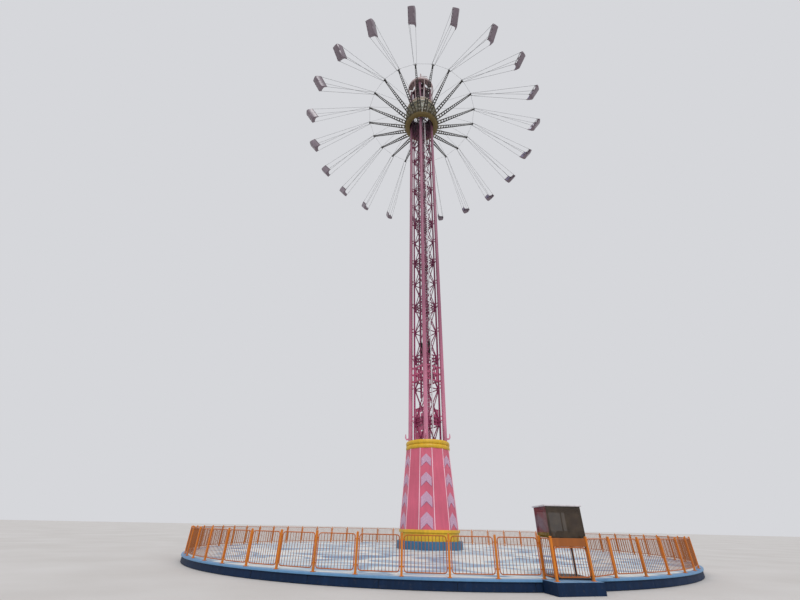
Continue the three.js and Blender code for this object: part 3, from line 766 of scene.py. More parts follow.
def section_joint():
    """Heavier node where two mast sections are bolted together."""
    parts = [level_bar(MAST_Z + lift, 0.036, 0.03, y=-0.004) for lift in (-0.13, 0.13)]
    parts += [upright(x, MAST_Z - 0.13, MAST_Z + 0.13, 0.03, 0.016) for x in (-0.11, 0.11)]
    for lift in (-0.009, 0.009):
        parts.append(block("flange", (0.084, 0.084, 0.016), (SIDE, -SIDE, MAST_Z + lift), 0.003))
    for x, y in ((-1, -1), (1, -1), (-1, 1), (1, 1)):
        parts.append(tube((SIDE + 0.034 * x, -SIDE + 0.034 * y, MAST_Z - 0.03),
                          (SIDE + 0.034 * x, -SIDE + 0.034 * y, MAST_Z + 0.03), 0.006, 6))
    for side in (-1, 1):
        parts.append(gusset(0.09, 0.34, 0.016, (side * (INNER - 0.045), -SIDE, MAST_Z), 0.03))
    return join("section_joint", parts)


lattice = stack(bay(), BAYS, BAY)
joints = stack(section_joint(), 10, 2 * BAY)
joints.data.transform(Matrix.Translation((0, 0, BAY)))
chord = block("chord", (CHORD, CHORD, MAST_TOP - MAST_Z), (SIDE, -SIDE, (MAST_Z + MAST_TOP) / 2), 0.006)
side_frame = join("side_frame", [lattice, joints, chord, level_bar(MAST_TOP - 0.02, 0.032, 0.03)])
activate(side_frame)
open_mesh()
bpy.ops.mesh.bisect(plane_co=(0, 0, MAST_Z), plane_no=(0, 0, 1), clear_inner=True, use_fill=True)
close_mesh(outward=False)
print("faces on one side:", len(side_frame.data.polygons))

# %% Four sides
POST_LOW = 4.82
for k, side_name in enumerate(("right_front", "right_back", "left_back", "left_front")):
    side = copy_at(side_frame, about_mast(45 + 90 * k))
    if k > 1:
        post = block("middle_post", (0.034, 0.03, MAST_TOP - POST_LOW),
                     (0, 0.036 - SIDE, (POST_LOW + MAST_TOP) / 2), 0.004)
        post.data.transform(about_mast(45 + 90 * k))
        side = join("side", [side, post])
    side.name = side.data.name = "mast_lattice_" + side_name
    side.data.materials.clear()
    # The front sides take the darker copy of the mast pink, painted shade; the back sides take the lighter,
    # lit copy.
    side.data.materials.append(MAST_PINK if k in (1, 2) else MAST_PINK_SHADED)
    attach(side, "base")
    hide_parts("mast_side_" + side_name)
bpy.data.objects.remove(side_frame)
print("middle posts start at", POST_LOW)

# %% [markdown]
# ## Deep collar, foot panels and counterweights
# Low on the mast, a deep collar of three level beams ties the chords and the guide tubes together. Near the
# foot the two front sides are closed with sheet panels: grids whose cells are deleted where the openings
# are, thickened with Solidify and stiffened with folded edges. Inside the mast hang two stacks of weight
# plates.


# %% Deep collar
COLLAR_BEAMS = {5.52: 0.05, 5.79: 0.075, 6.06: 0.06}
COLLAR_LOW, COLLAR_MIDDLE, COLLAR_HIGH = COLLAR_BEAMS


def deep_collar():
    """Three level beams with short posts between the chords, and tie plates out to a guide tube."""
    parts = [level_bar(z, high, 0.034, y=-0.004, bevel=0.003) for z, high in COLLAR_BEAMS.items()]
    parts += [upright(x, COLLAR_LOW, COLLAR_HIGH, 0.036, 0.018) for x in (-0.115, 0, 0.115)]
    for side in (-1, 1):
        parts.append(gusset(0.07, 0.62, 0.014, (side * (INNER - 0.035), -SIDE, COLLAR_MIDDLE), 0.03))
    frame_piece = join("collar", parts)
    frame_piece.data.transform(about_mast(45))
    plates = [block("tie_plate", (0.02, 0.085, 0.075), (0, -0.5285, z), 0.004) for z in COLLAR_BEAMS]
    return join("deep_collar", [frame_piece] + plates)


collar = ring_of(deep_collar(), "deep_collar", [90 * k for k in range(4)])
collar.data.materials.append(PANEL_PINK)
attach(collar, "base")
print("deep collar faces", len(collar.data.polygons))


# %% Foot panels
def sheet(x_low, x_high, low, high, openings):
    """Upright sheet on a mast side: cells inside an opening (x from, x to, z from, z to) are left out."""
    deselect()
    bpy.ops.mesh.primitive_grid_add(x_subdivisions=12, y_subdivisions=26, size=1,
                                    rotation=(math.pi / 2, 0, 0))
    piece = settle("sheet")
    piece.data.transform(Matrix.Translation(((x_low + x_high) / 2, -SIDE + 0.03, (low + high) / 2))
                         @ Matrix.Diagonal((x_high - x_low, 1, high - low, 1)))

    def in_opening(face):
        x, _, z = face.center
        return any(a < x < b and c < z < d for a, b, c, d in openings)

    pick(piece, in_opening)
    bpy.ops.mesh.delete(type="FACE")
    close_mesh(outward=False)
    thicken(piece, 0.008)
    edges = [level_bar(z, 0.016, 0.03, x_low, x_high, 0.02) for z in (low + 0.008, high - 0.008)]
    ribs = [upright(x, low, high, 0.014, 0.02, 0.022, 0.002) for x in (x_low + 0.01, x_high - 0.01)]
    return join("sheet", [piece] + edges + ribs)


slots = [(x, x + 0.12, z, z + 0.05) for x in (-0.24, 0.02) for z in (3.66, 3.86)]
left_sheet = sheet(-0.28, 0.28, 3.4, 4.49, slots + [(-0.24, -0.12, 4.2, 4.38), (-0.06, 0.0, 4.12, 4.34),
                                                    (0.06, 0.2, 4.3, 4.36)])
left_sheet.data.transform(about_mast(-45))
right_sheet = sheet(0.03, 0.28, 3.9, 4.44, [(0.2, 0.25, 4.1, 4.2), (0.08, 0.12, 4.26, 4.34)])
right_sheet.data.transform(about_mast(45))
foot_panels = join("foot_panels", [left_sheet, right_sheet])
foot_panels.data.materials.append(PANEL_PINK)
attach(foot_panels, "base")
print("foot panel faces", len(foot_panels.data.polygons))


# %% Counterweights
WEIGHT_LOW, WEIGHT_HIGH = 6.56, 7.2


def weight_stack(x, y):
    """Seven bevelled plates between two side bars, with a yoke bar and a rope on top."""
    lowest = WEIGHT_LOW + 0.06
    parts = [block("plate", (0.09, 0.13, 0.072), (x, y, lowest + 0.078 * k), 0.008) for k in range(7)]
    for side in (y - 0.075, y + 0.075):
        parts.append(bar((x, side, WEIGHT_LOW), (x, side, WEIGHT_HIGH), 0.02, 0.016, (1, 0, 0), 0.002))
    yoke = WEIGHT_HIGH - 0.01
    parts.append(bar((x, y - 0.083, yoke), (x, y + 0.083, yoke), 0.03, 0.03, (0, 0, 1), 0.004))
    parts.append(tube((x, y, WEIGHT_HIGH), (x, y, MAST_TOP - 0.05), 0.008, 8))
    return join("stack", parts)


weights = join("counterweights", [weight_stack(-0.175, 0.0), weight_stack(0.14, -0.12)])
weights.data.materials.append(DARK_STEEL)
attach(weights, "base")
print("counterweight faces", len(weights.data.polygons))

# %% [markdown]
# ## Guide tubes
# Four thick round tubes outside the corners carry the gondola's guide shoes. Each stands off its chord on
# short struts, two to a bay, and has a hooked catch near its foot where the gondola lands. The hook is a
# bar whose end face is extruded upwards.

# %% Guide tubes
TUBE_AT = 0.607
TUBE_R = 0.075
TUBE_TOP = 25.425
HOOK_Z = 3.4


def catch():
    """Hook that stands out from the tube: a bar whose outer end is drawn up and narrowed."""
    deselect()
    bpy.ops.mesh.primitive_cube_add(size=1, location=(0, -TUBE_AT - TUBE_R - 0.03, HOOK_Z + 0.025))
    bpy.context.object.scale = (0.04, 0.09, 0.05)
    piece = settle("catch")
    pick(piece, lambda face: face.normal.y < -0.9)
    bpy.ops.mesh.extrude_region_move(TRANSFORM_OT_translate={"value": (0, -0.0245, 0.02)})
    bpy.ops.transform.rotate(value=math.radians(70), orient_axis="X",
                             center_override=(0, -TUBE_AT - TUBE_R - 0.075, HOOK_Z + 0.06))
    bpy.ops.mesh.extrude_region_move(TRANSFORM_OT_translate={"value": (0, 0, 0.12)})
    bpy.ops.transform.resize(value=(0.7, 0.5, 1))
    close_mesh()
    return piece


def struts():
    """Two stand-off struts for one bay, with a saddle plate against the tube."""
    parts = []
    for z in (MAST_Z + 0.06, MAST_Z + 0.2):
        parts.append(block("strut", (0.03, 0.064, 0.03), (0, -0.514, z), 0.003))
        parts.append(block("saddle", (0.06, 0.012, 0.05), (0, TUBE_R - TUBE_AT + 0.003, z), 0.003))
    return stack(join("struts", parts), BAYS, BAY)


print("tube radius", TUBE_R, "at", TUBE_AT, "from the axis")

# %% Four guide tubes
deselect()
bpy.ops.mesh.primitive_cylinder_add(vertices=32, radius=TUBE_R, depth=TUBE_TOP - MAST_Z,
                                    location=(0, -TUBE_AT, (TUBE_TOP + MAST_Z) / 2))
pipe = settle("pipe")
edge = pipe.modifiers.new("edge", "BEVEL")
edge.width, edge.segments, edge.limit_method = 0.008, 2, "ANGLE"
apply_modifiers(pipe)
seam = turned("seam", [(TUBE_R - 0.004, 0), (TUBE_R + 0.0004, 0.002), (TUBE_R + 0.0004, 0.012),
                       (TUBE_R - 0.004, 0.014)], 32)
seam.data.transform(Matrix.Translation((0, -TUBE_AT, MAST_Z + BAY)))
cage_seat = block("cage_seat", (0.06, 0.07, 0.05), (0, -0.7, 23.45), 0.004)
guide = join("guide", [pipe, stack(seam, 10, 2 * BAY), struts(), catch(), cage_seat])
guide.data.materials.append(TUBE_PINK)
smooth(guide)
for k, side_name in enumerate(("front", "right", "back", "left")):
    pipe = copy_at(guide, about_mast(90 * k))
    pipe.name = pipe.data.name = "guide_pipe_" + side_name
    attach(pipe, "base")
    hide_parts("guide_tube_" + side_name)
print("faces on one guide pipe:", len(guide.data.polygons))
bpy.data.objects.remove(guide)

# %% [markdown]
# ## Ladder and service pipe
# The ladder has two square rails and round rungs every 0.3 m of the real ride. One rung is modelled and an
# Array modifier climbs with it. The white pipe outside the mast carries the cables to the head, on clips at
# each bay.

# %% Ladder
LADDER_AT = (0.11, 0.06)
LADDER_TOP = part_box("ladder")[1][2]
LADDER_HALF = 0.09
RUNGS, RUNG_PITCH = 165, 0.15
rail_at = [(LADDER_AT[0] + side * LADDER_HALF, LADDER_AT[1]) for side in (-1, 1)]
rung = tube((*rail_at[0], MAST_Z + 0.1), (*rail_at[1], MAST_Z + 0.1), 0.0075, 6)
rails = [block("rail", (0.02, 0.02, LADDER_TOP - MAST_Z), (x, y, (LADDER_TOP + MAST_Z) / 2), 0.003)
         for x, y in rail_at]
climb = join("climbing_ladder", [stack(rung, RUNGS, RUNG_PITCH)] + rails)
climb.data.materials.append(PALE)
smooth(climb)
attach(climb, "base")
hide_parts("ladder")
print("rungs", RUNGS, "at", RUNG_PITCH)

# %% Service pipe
PIPE_R = 0.0225
PIPE_X, PIPE_Y = -0.07, -(SIDE + 0.015 + 0.05)
PIPE_LOW, PIPE_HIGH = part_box("service_pipe")[0][2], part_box("service_pipe")[1][2]
main = tube((PIPE_X, PIPE_Y, PIPE_LOW), (PIPE_X, PIPE_Y, PIPE_HIGH), PIPE_R, 16)
collar = tube((PIPE_X, PIPE_Y, 4.0), (PIPE_X, PIPE_Y, 4.05), PIPE_R + 0.005, 16)
clip = block("clip", (0.06, 0.05, 0.03), (PIPE_X, -SIDE - 0.04, MAST_Z + 3 * BAY), 0.003)
service = join("service_line", [main, stack(collar, 8, 2.75), stack(clip, 18, BAY)])
service.data.transform(about_mast(45))
WHITE_PIPE = paint("pipe_white", linear(222, 220, 222), grime=0.12)
service.data.materials.append(WHITE_PIPE)
smooth(service)
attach(service, "base")
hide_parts("service_pipe")
print("pipe from", round(PIPE_LOW, 2), "to", round(PIPE_HIGH, 2))


# %% [markdown]
# ## Crown
# The mast head wears a flared cage: curved ribs between three rings. On its front half lies a maintenance
# walkway, a part of a flat ring, with a folded hoop rail and an aerial post. A rib is one face extruded
# from point to point along the curve, so it keeps its section while it bends; the cage has eight copies of
# it.


# %% Shapes drawn along a path
def swept(name, points, width, depth, side=(1, 0, 0)):
    """Bar that bends along a path: a face extruded from point to point and laid across each."""
    deselect()
    bpy.ops.mesh.primitive_plane_add(size=1)
    piece = settle(name)
    piece.data.transform(Matrix.Diagonal((width, depth, 1, 1)))
    open_mesh()
    for _ in points[1:]:
        bpy.ops.mesh.extrude_region_move(TRANSFORM_OT_translate={"value": (0, 0, 1)})
    close_mesh(outward=False)
    points = [Vector(p) for p in points]
    for vertex in piece.data.vertices:
        k = round(vertex.co.z)
        along = (points[min(k + 1, len(points) - 1)] - points[max(k - 1, 0)]).normalized()
        first = Vector(side)
        second = along.cross(first).normalized()
        vertex.co = points[k] + first * vertex.co.x + second * vertex.co.y
    activate(piece)
    open_mesh()
    close_mesh()
    return piece


def band(low, high, inner, outer, sides=64, bevel=0.003):
    """Flat ring with softened edges."""
    return turned("band", [(inner, low), (outer - bevel, low), (outer, low + bevel), (outer, high - bevel),
                           (outer - bevel, high), (inner, high)], sides)


# %% Crown cage
CAGE_LOW, CAGE_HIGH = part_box("crown_cage")[0][2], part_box("crown_cage")[1][2]
CAGE_CURVE = [(0.73, 23.475), (0.765, 24.4), (0.825, 25.46)]


def cage_radius(height):
    """Outer radius of the cage, a smooth curve through its three given points."""
    (r0, z0), (r1, z1), (r2, z2) = CAGE_CURVE
    t = (height - z0) / (z2 - z0)
    m = (z1 - z0) / (z2 - z0)
    bend = (r1 - r0 - (r2 - r0) * m) / (m * (m - 1))
    return r0 + (r2 - r0) * t + bend * t * (t - 1)


rib_line = []
for k in range(11):
    height = CAGE_LOW + 0.06 + (CAGE_HIGH - CAGE_LOW - 0.11) * k / 10
    rib_line.append((0, -cage_radius(height) + 0.019, height))
rib = swept("rib", rib_line, 0.03, 0.034)
ribs = ring_of(rib, "ribs", [45 * k + 22.5 for k in range(8)])
hoops = [band(CAGE_LOW, CAGE_LOW + 0.06, 0.697, 0.74),
         band(24.4, 24.424, cage_radius(24.4) - 0.034, cage_radius(24.4) - 0.004),
         band(CAGE_HIGH - 0.065, CAGE_HIGH, 0.775, 0.828)]
cage = join("crown_ribs", [ribs] + hoops)
cage.data.materials.append(CROWN_BROWN)
smooth(cage, 30)
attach(cage, "base")
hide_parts("crown_cage")
print("cage faces", len(cage.data.polygons))

# %% [markdown]
# The mast ends in a closed head plate between the four guide tubes; from the ground its underside fills
# the crown, and its dark purple is painted shade. Under it sit the sheaves for the lifting ropes, wheels
# whose faces are inset in steps, and a finned motor lies at its front edge. Two sheets with openings, made
# as the foot panels are, shield the mast on its front sides below.


# %% Sheaves
def sheave(radius, width, at, turn):
    deselect()
    bpy.ops.mesh.primitive_cylinder_add(vertices=32, radius=radius, depth=width, location=(0, 0, 0))
    wheel = settle("wheel")
    pick(wheel, lambda face: abs(face.normal.z) > 0.9)
    for step, sink in ((radius * 0.2, 0), (0.004, -width * 0.3), (radius * 0.4, 0), (0.003, width * 0.4)):
        bpy.ops.mesh.inset(thickness=step, depth=sink)
    close_mesh(outward=False)
    wheel.data.transform(Matrix.Translation(at) @ Matrix.Rotation(math.radians(turn), 4, "Z")
                         @ Matrix.Rotation(math.pi / 2, 4, "Y"))
    return wheel


wheels = []
for turn in (45, 135):
    direction = Vector((math.cos(math.radians(turn + 90)), math.sin(math.radians(turn + 90)), 0))
    for reach in (-0.2, 0.2):
        wheels.append(sheave(0.17, 0.04, direction * reach + Vector((0, 0, 25.15)), turn))
print("sheaves", len(wheels))

# %% Head gear
def motor():
    """Finned motor lying on its side: its profile steps out at every fin."""
    profile = [(0.008, 0.0), (0.06, 0.0), (0.06, 0.03)]
    for k in range(6):
        low = 0.03 + 0.026 * k
        profile += [(0.06, low), (0.08, low + 0.003), (0.08, low + 0.013), (0.06, low + 0.016)]
    profile += [(0.06, 0.2), (0.04, 0.215), (0.008, 0.215)]
    piece = turned("motor", profile, 24)
    piece.data.transform(Matrix.Translation((0.09, -0.5, 25.28)) @ Matrix.Rotation(math.pi / 2, 4, "Y"))
    return piece


beams = [bar((-0.3, -0.3, 25.2), (0.3, 0.3, 25.2), 0.04, 0.06, (0, 0, 1), 0.004),
         bar((-0.3, 0.3, 25.17), (0.3, -0.3, 25.17), 0.04, 0.06, (0, 0, 1), 0.004)]
head_gear = join("head_sheaves", wheels + beams + [motor()])
head_gear.data.materials.append(DARK_STEEL)
smooth(head_gear, 40)
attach(head_gear, "base")
print("head gear faces", len(head_gear.data.polygons))

# %% Head plate
HEAD_Z, HEAD_W = 25.37, 0.85


def head_plate():
    """Square plate between the guide tubes, with a folded rim and a field of stiffeners below."""
    parts = [block("head_plate", (HEAD_W, HEAD_W, 0.012), (0, 0, HEAD_Z), 0.003)]
    for turn in range(4):
        edge = block("fold", (HEAD_W, 0.014, 0.05), (0, 0.007 - HEAD_W / 2, HEAD_Z - 0.02), 0.003)
        edge.data.transform(about_mast(90 * turn))
        parts.append(edge)
    for k in range(-2, 3):
        parts.append(block("stiffener", (0.016, HEAD_W - 0.03, 0.03), (0.15 * k, 0, HEAD_Z - 0.02), 0.002))
    whole = join("head_plate", parts)
    landing = block("landing", (0.3, 0.2, 0.014), (-0.14, -0.47, HEAD_Z), 0.002)
    whole.data.transform(about_mast(45))
    return join("head_plate", [whole, landing])


# The head plate's dark purple is painted shade: its underside is seen from below in shade.
HEAD_SHADE_PURPLE = paint("head_painted_shade", linear(112, 72, 88))
head = head_plate()
head.name = head.data.name = "mast_head_plate"
head.data.materials.append(HEAD_SHADE_PURPLE)
smooth(head, 30)
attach(head, "base")
print("head plate", HEAD_W, "wide")

# %% Head shields
SHIELD_LOW, SHIELD_HIGH = 23.95, 24.97
left_shield = sheet(-0.29, 0.29, SHIELD_LOW, SHIELD_HIGH, [
    (-0.21, -0.09, 24.5, 24.7), (0.0, 0.06, 24.08, 24.2), (-0.12, -0.02, 24.05, 24.14)])
left_shield.data.transform(about_mast(-45))
right_shield = sheet(-0.12, 0.29, SHIELD_LOW, SHIELD_HIGH, [
    (0.13, 0.2, 24.55, 24.75), (0.02, 0.07, 24.4, 24.46)])
right_shield.data.transform(about_mast(45))
shields = join("head_shields", [left_shield, right_shield])
shields.data.materials.append(paint("shield_grey", linear(92, 70, 82)))
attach(shields, "base")
print("shield faces", len(shields.data.polygons))

# %% Crown walkway
ROOF_LOW, ROOF_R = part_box("crown_deck")[0][2], 0.825
ROOF_TOP = 25.525
WALK_IN, WALK_HALF = 0.5, 80


def sector(inner, outer, low, high, half, count=32):
    """Part of a flat ring: one upright face spun about the mast's axis."""
    deselect()
    bpy.ops.mesh.primitive_plane_add(size=1)
    piece = settle("sector")
    upended = Matrix(((0, 0, 1, 0), (outer - inner, 0, 0, 0), (0, high - low, 0, 0), (0, 0, 0, 1)))
    at = Matrix.Translation((0, -(inner + outer) / 2, (low + high) / 2))
    piece.data.transform(about_mast(-half) @ at @ upended)
    open_mesh()
    bpy.ops.mesh.spin(steps=count, angle=math.radians(-2 * half), center=(0, 0, 0), axis=(0, 0, 1))
    close_mesh()
    return piece


walk = [sector(WALK_IN, ROOF_R, ROOF_TOP - 0.016, ROOF_TOP, WALK_HALF),
        sector(ROOF_R - 0.022, ROOF_R, ROOF_LOW, ROOF_TOP - 0.014, WALK_HALF),
        sector(ROOF_R - 0.014, ROOF_R, ROOF_TOP - 0.01, ROOF_TOP + 0.07, WALK_HALF),
        sector(WALK_IN, WALK_IN + 0.022, ROOF_LOW, ROOF_TOP - 0.014, WALK_HALF)]
joist = block("joist", (0.02, ROOF_R - WALK_IN - 0.03, 0.03),
              (0, -(ROOF_R + WALK_IN) / 2, ROOF_LOW + 0.02), 0.002)
walk.append(ring_of(joist, "joists", [20 * k - WALK_HALF + 0.8 * (4 - k) / 4 for k in range(9)]))
for x in (-0.3, 0.3):
    walk.append(bar((x, -0.56, 25.5), (x, 0.75, 25.5), 0.04, 0.048, (0, 0, 1), 0.003))
print("walkway from", WALK_IN, "to", ROOF_R)

# %% Aerial post and hoop rail
POST_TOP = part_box("crown_deck")[1][2]
AERIAL = (0.07, -0.67)
aerial = [tube((*AERIAL, ROOF_TOP - 0.01), (*AERIAL, 26.12), 0.04, 16),
          tube((*AERIAL, 26.12), (*AERIAL, POST_TOP - 0.004), 0.032, 16),
          turned("collar", [(0.036, 26.1), (0.044, 26.104), (0.044, 26.124), (0.03, 26.132)], 16)]
aerial[-1].data.transform(Matrix.Translation((*AERIAL, 0)))
HOOP = Vector((0.13, -0.71, 0)), Vector((0.49, -0.63, 0))
across = (HOOP[1] - HOOP[0]).normalized()
rise = Vector((0, 0, 1))
curve = [(0, ROOF_TOP - 0.01), (0, 25.83), (0.006, 25.865), (0.025, 25.883), (0.06, 25.89)]
hoop_line = [HOOP[0] + across * s + rise * z for s, z in curve]
hoop_line += [HOOP[1] - across * s + rise * z for s, z in reversed(curve)]
rail = swept("rail", hoop_line, 0.024, 0.024, across.cross(rise))
roof = join("crown_roof", walk + [rail] + aerial)
roof.data.materials.append(CROWN_BROWN)
smooth(roof)
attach(roof, "base")
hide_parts("crown_deck")
print("aerial post top", round(POST_TOP, 3))

# %% [markdown]
# ## Gondola
# The gondola is a short drum that rides on the guide tubes. From the ground one sees its broad golden lower
# ring, dark inside, then the drum's wall, painted with foliage behind its arches and lamps, and a lighter
# rim on top. All of it is round, so profiles are turned, and one arch and its lamps are copied to 21
# places.

# %% Lower ring
RING_LOW, RING_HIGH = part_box("lower_ring")[0][2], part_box("lower_ring")[1][2]
RING_IN, RING_OUT = 0.71, 0.98
ring_profile = [(RING_IN, RING_HIGH), (RING_IN, RING_LOW + 0.02), (RING_IN + 0.012, RING_LOW + 0.004)]
for k in range(9):
    a = math.pi / 2 * k / 8
    ring_profile.append((RING_OUT - 0.14 + 0.14 * math.sin(a), RING_LOW + 0.09 * (1 - math.cos(a))))
ring_profile += [(RING_OUT, RING_HIGH - 0.004), (RING_OUT - 0.004, RING_HIGH)]
gold_ring = turned("gold_ring", ring_profile, 126)
gold_ring.data.materials.append(OLIVE)
smooth(gold_ring, 40)
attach(gold_ring, "rotor")
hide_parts("lower_ring")
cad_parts["carriage_sleeve"].data.materials[0] = DARK_STEEL
print("gold ring from", round(RING_LOW, 3), "to", round(RING_HIGH, 3))

# %% Drum wall
DRUM_LOW, DRUM_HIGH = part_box("drum")[0][2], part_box("drum")[1][2]
DRUM_R = 0.94
WALL = 0.04


def drum_profile():
    """Plain wall with a moulding at its top, set in over the arms' root band."""
    outer = [(DRUM_R, DRUM_LOW), (DRUM_R, DRUM_LOW + 0.4), (DRUM_R - 0.012, DRUM_LOW + 0.42),
             (DRUM_R - 0.012, DRUM_HIGH - 0.2), (DRUM_R, DRUM_HIGH - 0.18)]
    for k in range(7):
        a = math.pi * k / 6
        outer.append((DRUM_R - 0.02 + 0.02 * math.sin(a), DRUM_HIGH - 0.165 + 0.15 * (1 - math.cos(a)) / 2))
    outer.append((DRUM_R - 0.02, DRUM_HIGH))
    return outer + [(0.766, DRUM_HIGH), (0.766, DRUM_HIGH - 0.05), (DRUM_R - WALL, DRUM_HIGH - 0.05),
                    (DRUM_R - WALL, DRUM_LOW)]


def leaf_paint():
    """Painted foliage: distorted noise cut into a few dark and pale greens."""
    material, tree, shader = new_material("drum_foliage")
    leaves = node(tree, "ShaderNodeTexNoise", {"Scale": 7.0, "Detail": 1.5, "Distortion": 1.6},
                  Vector=object_coordinates(tree))
    tones = steps(tree, leaves.outputs["Fac"], [
        (0.36, linear(44, 46, 32)), (0.42, linear(78, 72, 48)), (0.5, linear(62, 74, 50)),
        (0.56, linear(96, 88, 64)), (0.64, linear(138, 128, 104))])
    weathered(tree, shader, tones, grime=0.15)
    return material


wall = turned("drum_wall", drum_profile(), 126)
wall.data.materials.append(leaf_paint())
smooth(wall, 40)
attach(wall, "rotor")
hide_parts("drum")
print("drum wall from", round(DRUM_LOW, 3), "to", round(DRUM_HIGH, 3))


# %% Arch and lamp
def arch(radius, low, width, height, thick):
    """Arched frame on the drum: a half ring spun from a face, its legs extruded down."""
    deselect()
    bpy.ops.mesh.primitive_plane_add(size=1)
    piece = settle("arch")
    piece.data.transform(Matrix.Translation((width / 2, 0, 0)) @ Matrix.Diagonal((0.022, thick, 1, 1)))
    open_mesh()
    bpy.ops.mesh.extrude_region_move(TRANSFORM_OT_translate={"value": (0, 0, height - width / 2)})
    bpy.ops.mesh.spin(steps=8, angle=math.pi, center=(0, 0, height - width / 2), axis=(0, 1, 0))
    bpy.ops.mesh.extrude_region_move(TRANSFORM_OT_translate={"value": (0, 0, width / 2 - height)})
    bpy.ops.mesh.select_all(action="SELECT")
    bpy.ops.mesh.remove_doubles(threshold=0.0005)
    close_mesh()
    piece.data.transform(Matrix.Translation((0, -radius, low)))
    return piece


def lamp(radius, at, size):
    """Round lamp with a raised rim."""
    deselect()
    bpy.ops.mesh.primitive_cylinder_add(vertices=14, radius=size, depth=0.016, location=(0, -radius, at),
                                        rotation=(math.pi / 2, 0, 0))
    piece = settle("lamp")
    pick(piece, lambda face: face.normal.y < -0.9)
    bpy.ops.mesh.inset(thickness=size * 0.25, depth=0)
    bpy.ops.mesh.extrude_region_move(TRANSFORM_OT_translate={"value": (0, -0.006, 0)})
    bpy.ops.transform.resize(value=(0.6, 1, 0.6))
    close_mesh(outward=False)
    return piece


ARMS = 21
STEP = 360 / ARMS
print("arms", ARMS, "every", round(STEP, 2), "degrees")

# %% Arches and lamps round the drum
mid_angles = [STEP * (k + 0.5) for k in range(ARMS)]
arm_angles = [STEP * k for k in range(ARMS)]
arches = ring_of(arch(DRUM_R - 0.008, DRUM_LOW + 0.43, 0.2, 0.62, 0.02), "drum_arches", mid_angles)
arches.data.materials.append(OLIVE)
smooth(arches)
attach(arches, "rotor")

LAMP = paint("lamp_glass", linear(150, 168, 140), gloss=(0.15, 0.3))
LAMP_ROWS = [(0.66, 0.034, mid_angles), (0.98, 0.022, arm_angles), (0.5, 0.016, arm_angles)]
rows = [ring_of(lamp(DRUM_R - 0.008, DRUM_LOW + lift, size), "row", angles)
        for lift, size, angles in LAMP_ROWS]
lamps = join("drum_lamps", rows)
lamps.data.materials.append(LAMP)
smooth(lamps)
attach(lamps, "rotor")
print("arches", ARMS, "lamps", 3 * ARMS, "faces", len(arches.data.polygons) + len(lamps.data.polygons))

# %% Stay ring
STAY_LOW, STAY_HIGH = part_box("stay_ring")[0][2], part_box("stay_ring")[1][2]
STAY_Z = 23.1
STAY_R = 0.9
rim = band(STAY_Z, STAY_HIGH, STAY_R - 0.05, STAY_R, 126, 0.006)
baluster = [(0, -0.875, STAY_LOW), (0, -0.885, STAY_LOW + 0.06), (0, -0.86, STAY_LOW + 0.13),
            (0, -0.868, STAY_LOW + 0.2), (0, -0.875, STAY_Z + 0.004)]
post = swept("post", baluster, 0.026, 0.022)
posts = ring_of(post, "posts", arm_angles)
fan = [arch(STAY_R - 0.03, STAY_LOW, 0.2, 0.245, 0.024),
       block("infill", (0.17, 0.012, 0.19), (0, 0.034 - STAY_R, STAY_LOW + 0.1), 0.004)]
crest = ring_of(join("fan", fan), "crest", mid_angles)
stay = join("stay_rim", [rim, posts, crest])
stay.data.materials.append(CREST)
smooth(stay)
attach(stay, "rotor")
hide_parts("stay_ring")
print("stay ring faces", len(stay.data.polygons))


# %% [markdown]
# ## Arms
# Each arm is a tapering plate girder with a row of round holes that shrink with it towards the tip. The web
# starts as one cell, a circle whose edge is extruded out to a square. An Array modifier repeats the cell,
# the rows are drawn together with the taper and a Solidify modifier gives the web its thickness. Flanges
# along both edges give it depth. A lug at the tip holds the cross pin of a seat.

# %% Arm sizes
ARM_ROOT = Vector((0, -0.975, 21.625))
ARM_END = Vector((0, -3.187, 22.255))
ARM_LENGTH = (ARM_END - ARM_ROOT).length
TIP_R, TIP_Z = 3.217, 22.235
HOLES = 17
HOLED = 0.93
ROOT_HALF, TIP_HALF = 0.118, 0.04


def half_width(s):
    return ROOT_HALF + (TIP_HALF - ROOT_HALF) * min(max(s, 0), ARM_LENGTH) / ARM_LENGTH


FIRST = 0.05
SHRINK = (half_width(ARM_LENGTH * HOLED) / half_width(FIRST)) ** (1 / HOLES)
TAPER = (ROOT_HALF - TIP_HALF) / ARM_LENGTH


def row_at(u):
    """Distance along the arm of the u-th row edge; the rows shrink as the arm tapers."""
    return FIRST + half_width(FIRST) * (1 - SHRINK ** u) / TAPER


PITCH = row_at(1) - FIRST
print("arm length", round(ARM_LENGTH, 3), "hole pitch from", round(PITCH, 3),
      "to", round(row_at(HOLES) - row_at(HOLES - 1), 3))


# %% Web with round holes
def web_cell():
    """Unit square with an oval hole: a circle whose edge is extruded out to the square's sides."""
    deselect()
    bpy.ops.mesh.primitive_circle_add(vertices=16, radius=0.36, fill_type="NOTHING")
    cell = settle("cell")
    open_mesh()
    bpy.ops.mesh.extrude_edges_move(TRANSFORM_OT_translate={"value": (0, 0, 0)})
    close_mesh(outward=False)
    for vertex in cell.data.vertices:
        if vertex.select:
            reach = 0.5 / max(abs(vertex.co.x), abs(vertex.co.y))
            vertex.co.x, vertex.co.y = vertex.co.x * reach, vertex.co.y * reach
        else:
            vertex.co.x *= PITCH / (2 * half_width(FIRST))
    return cell


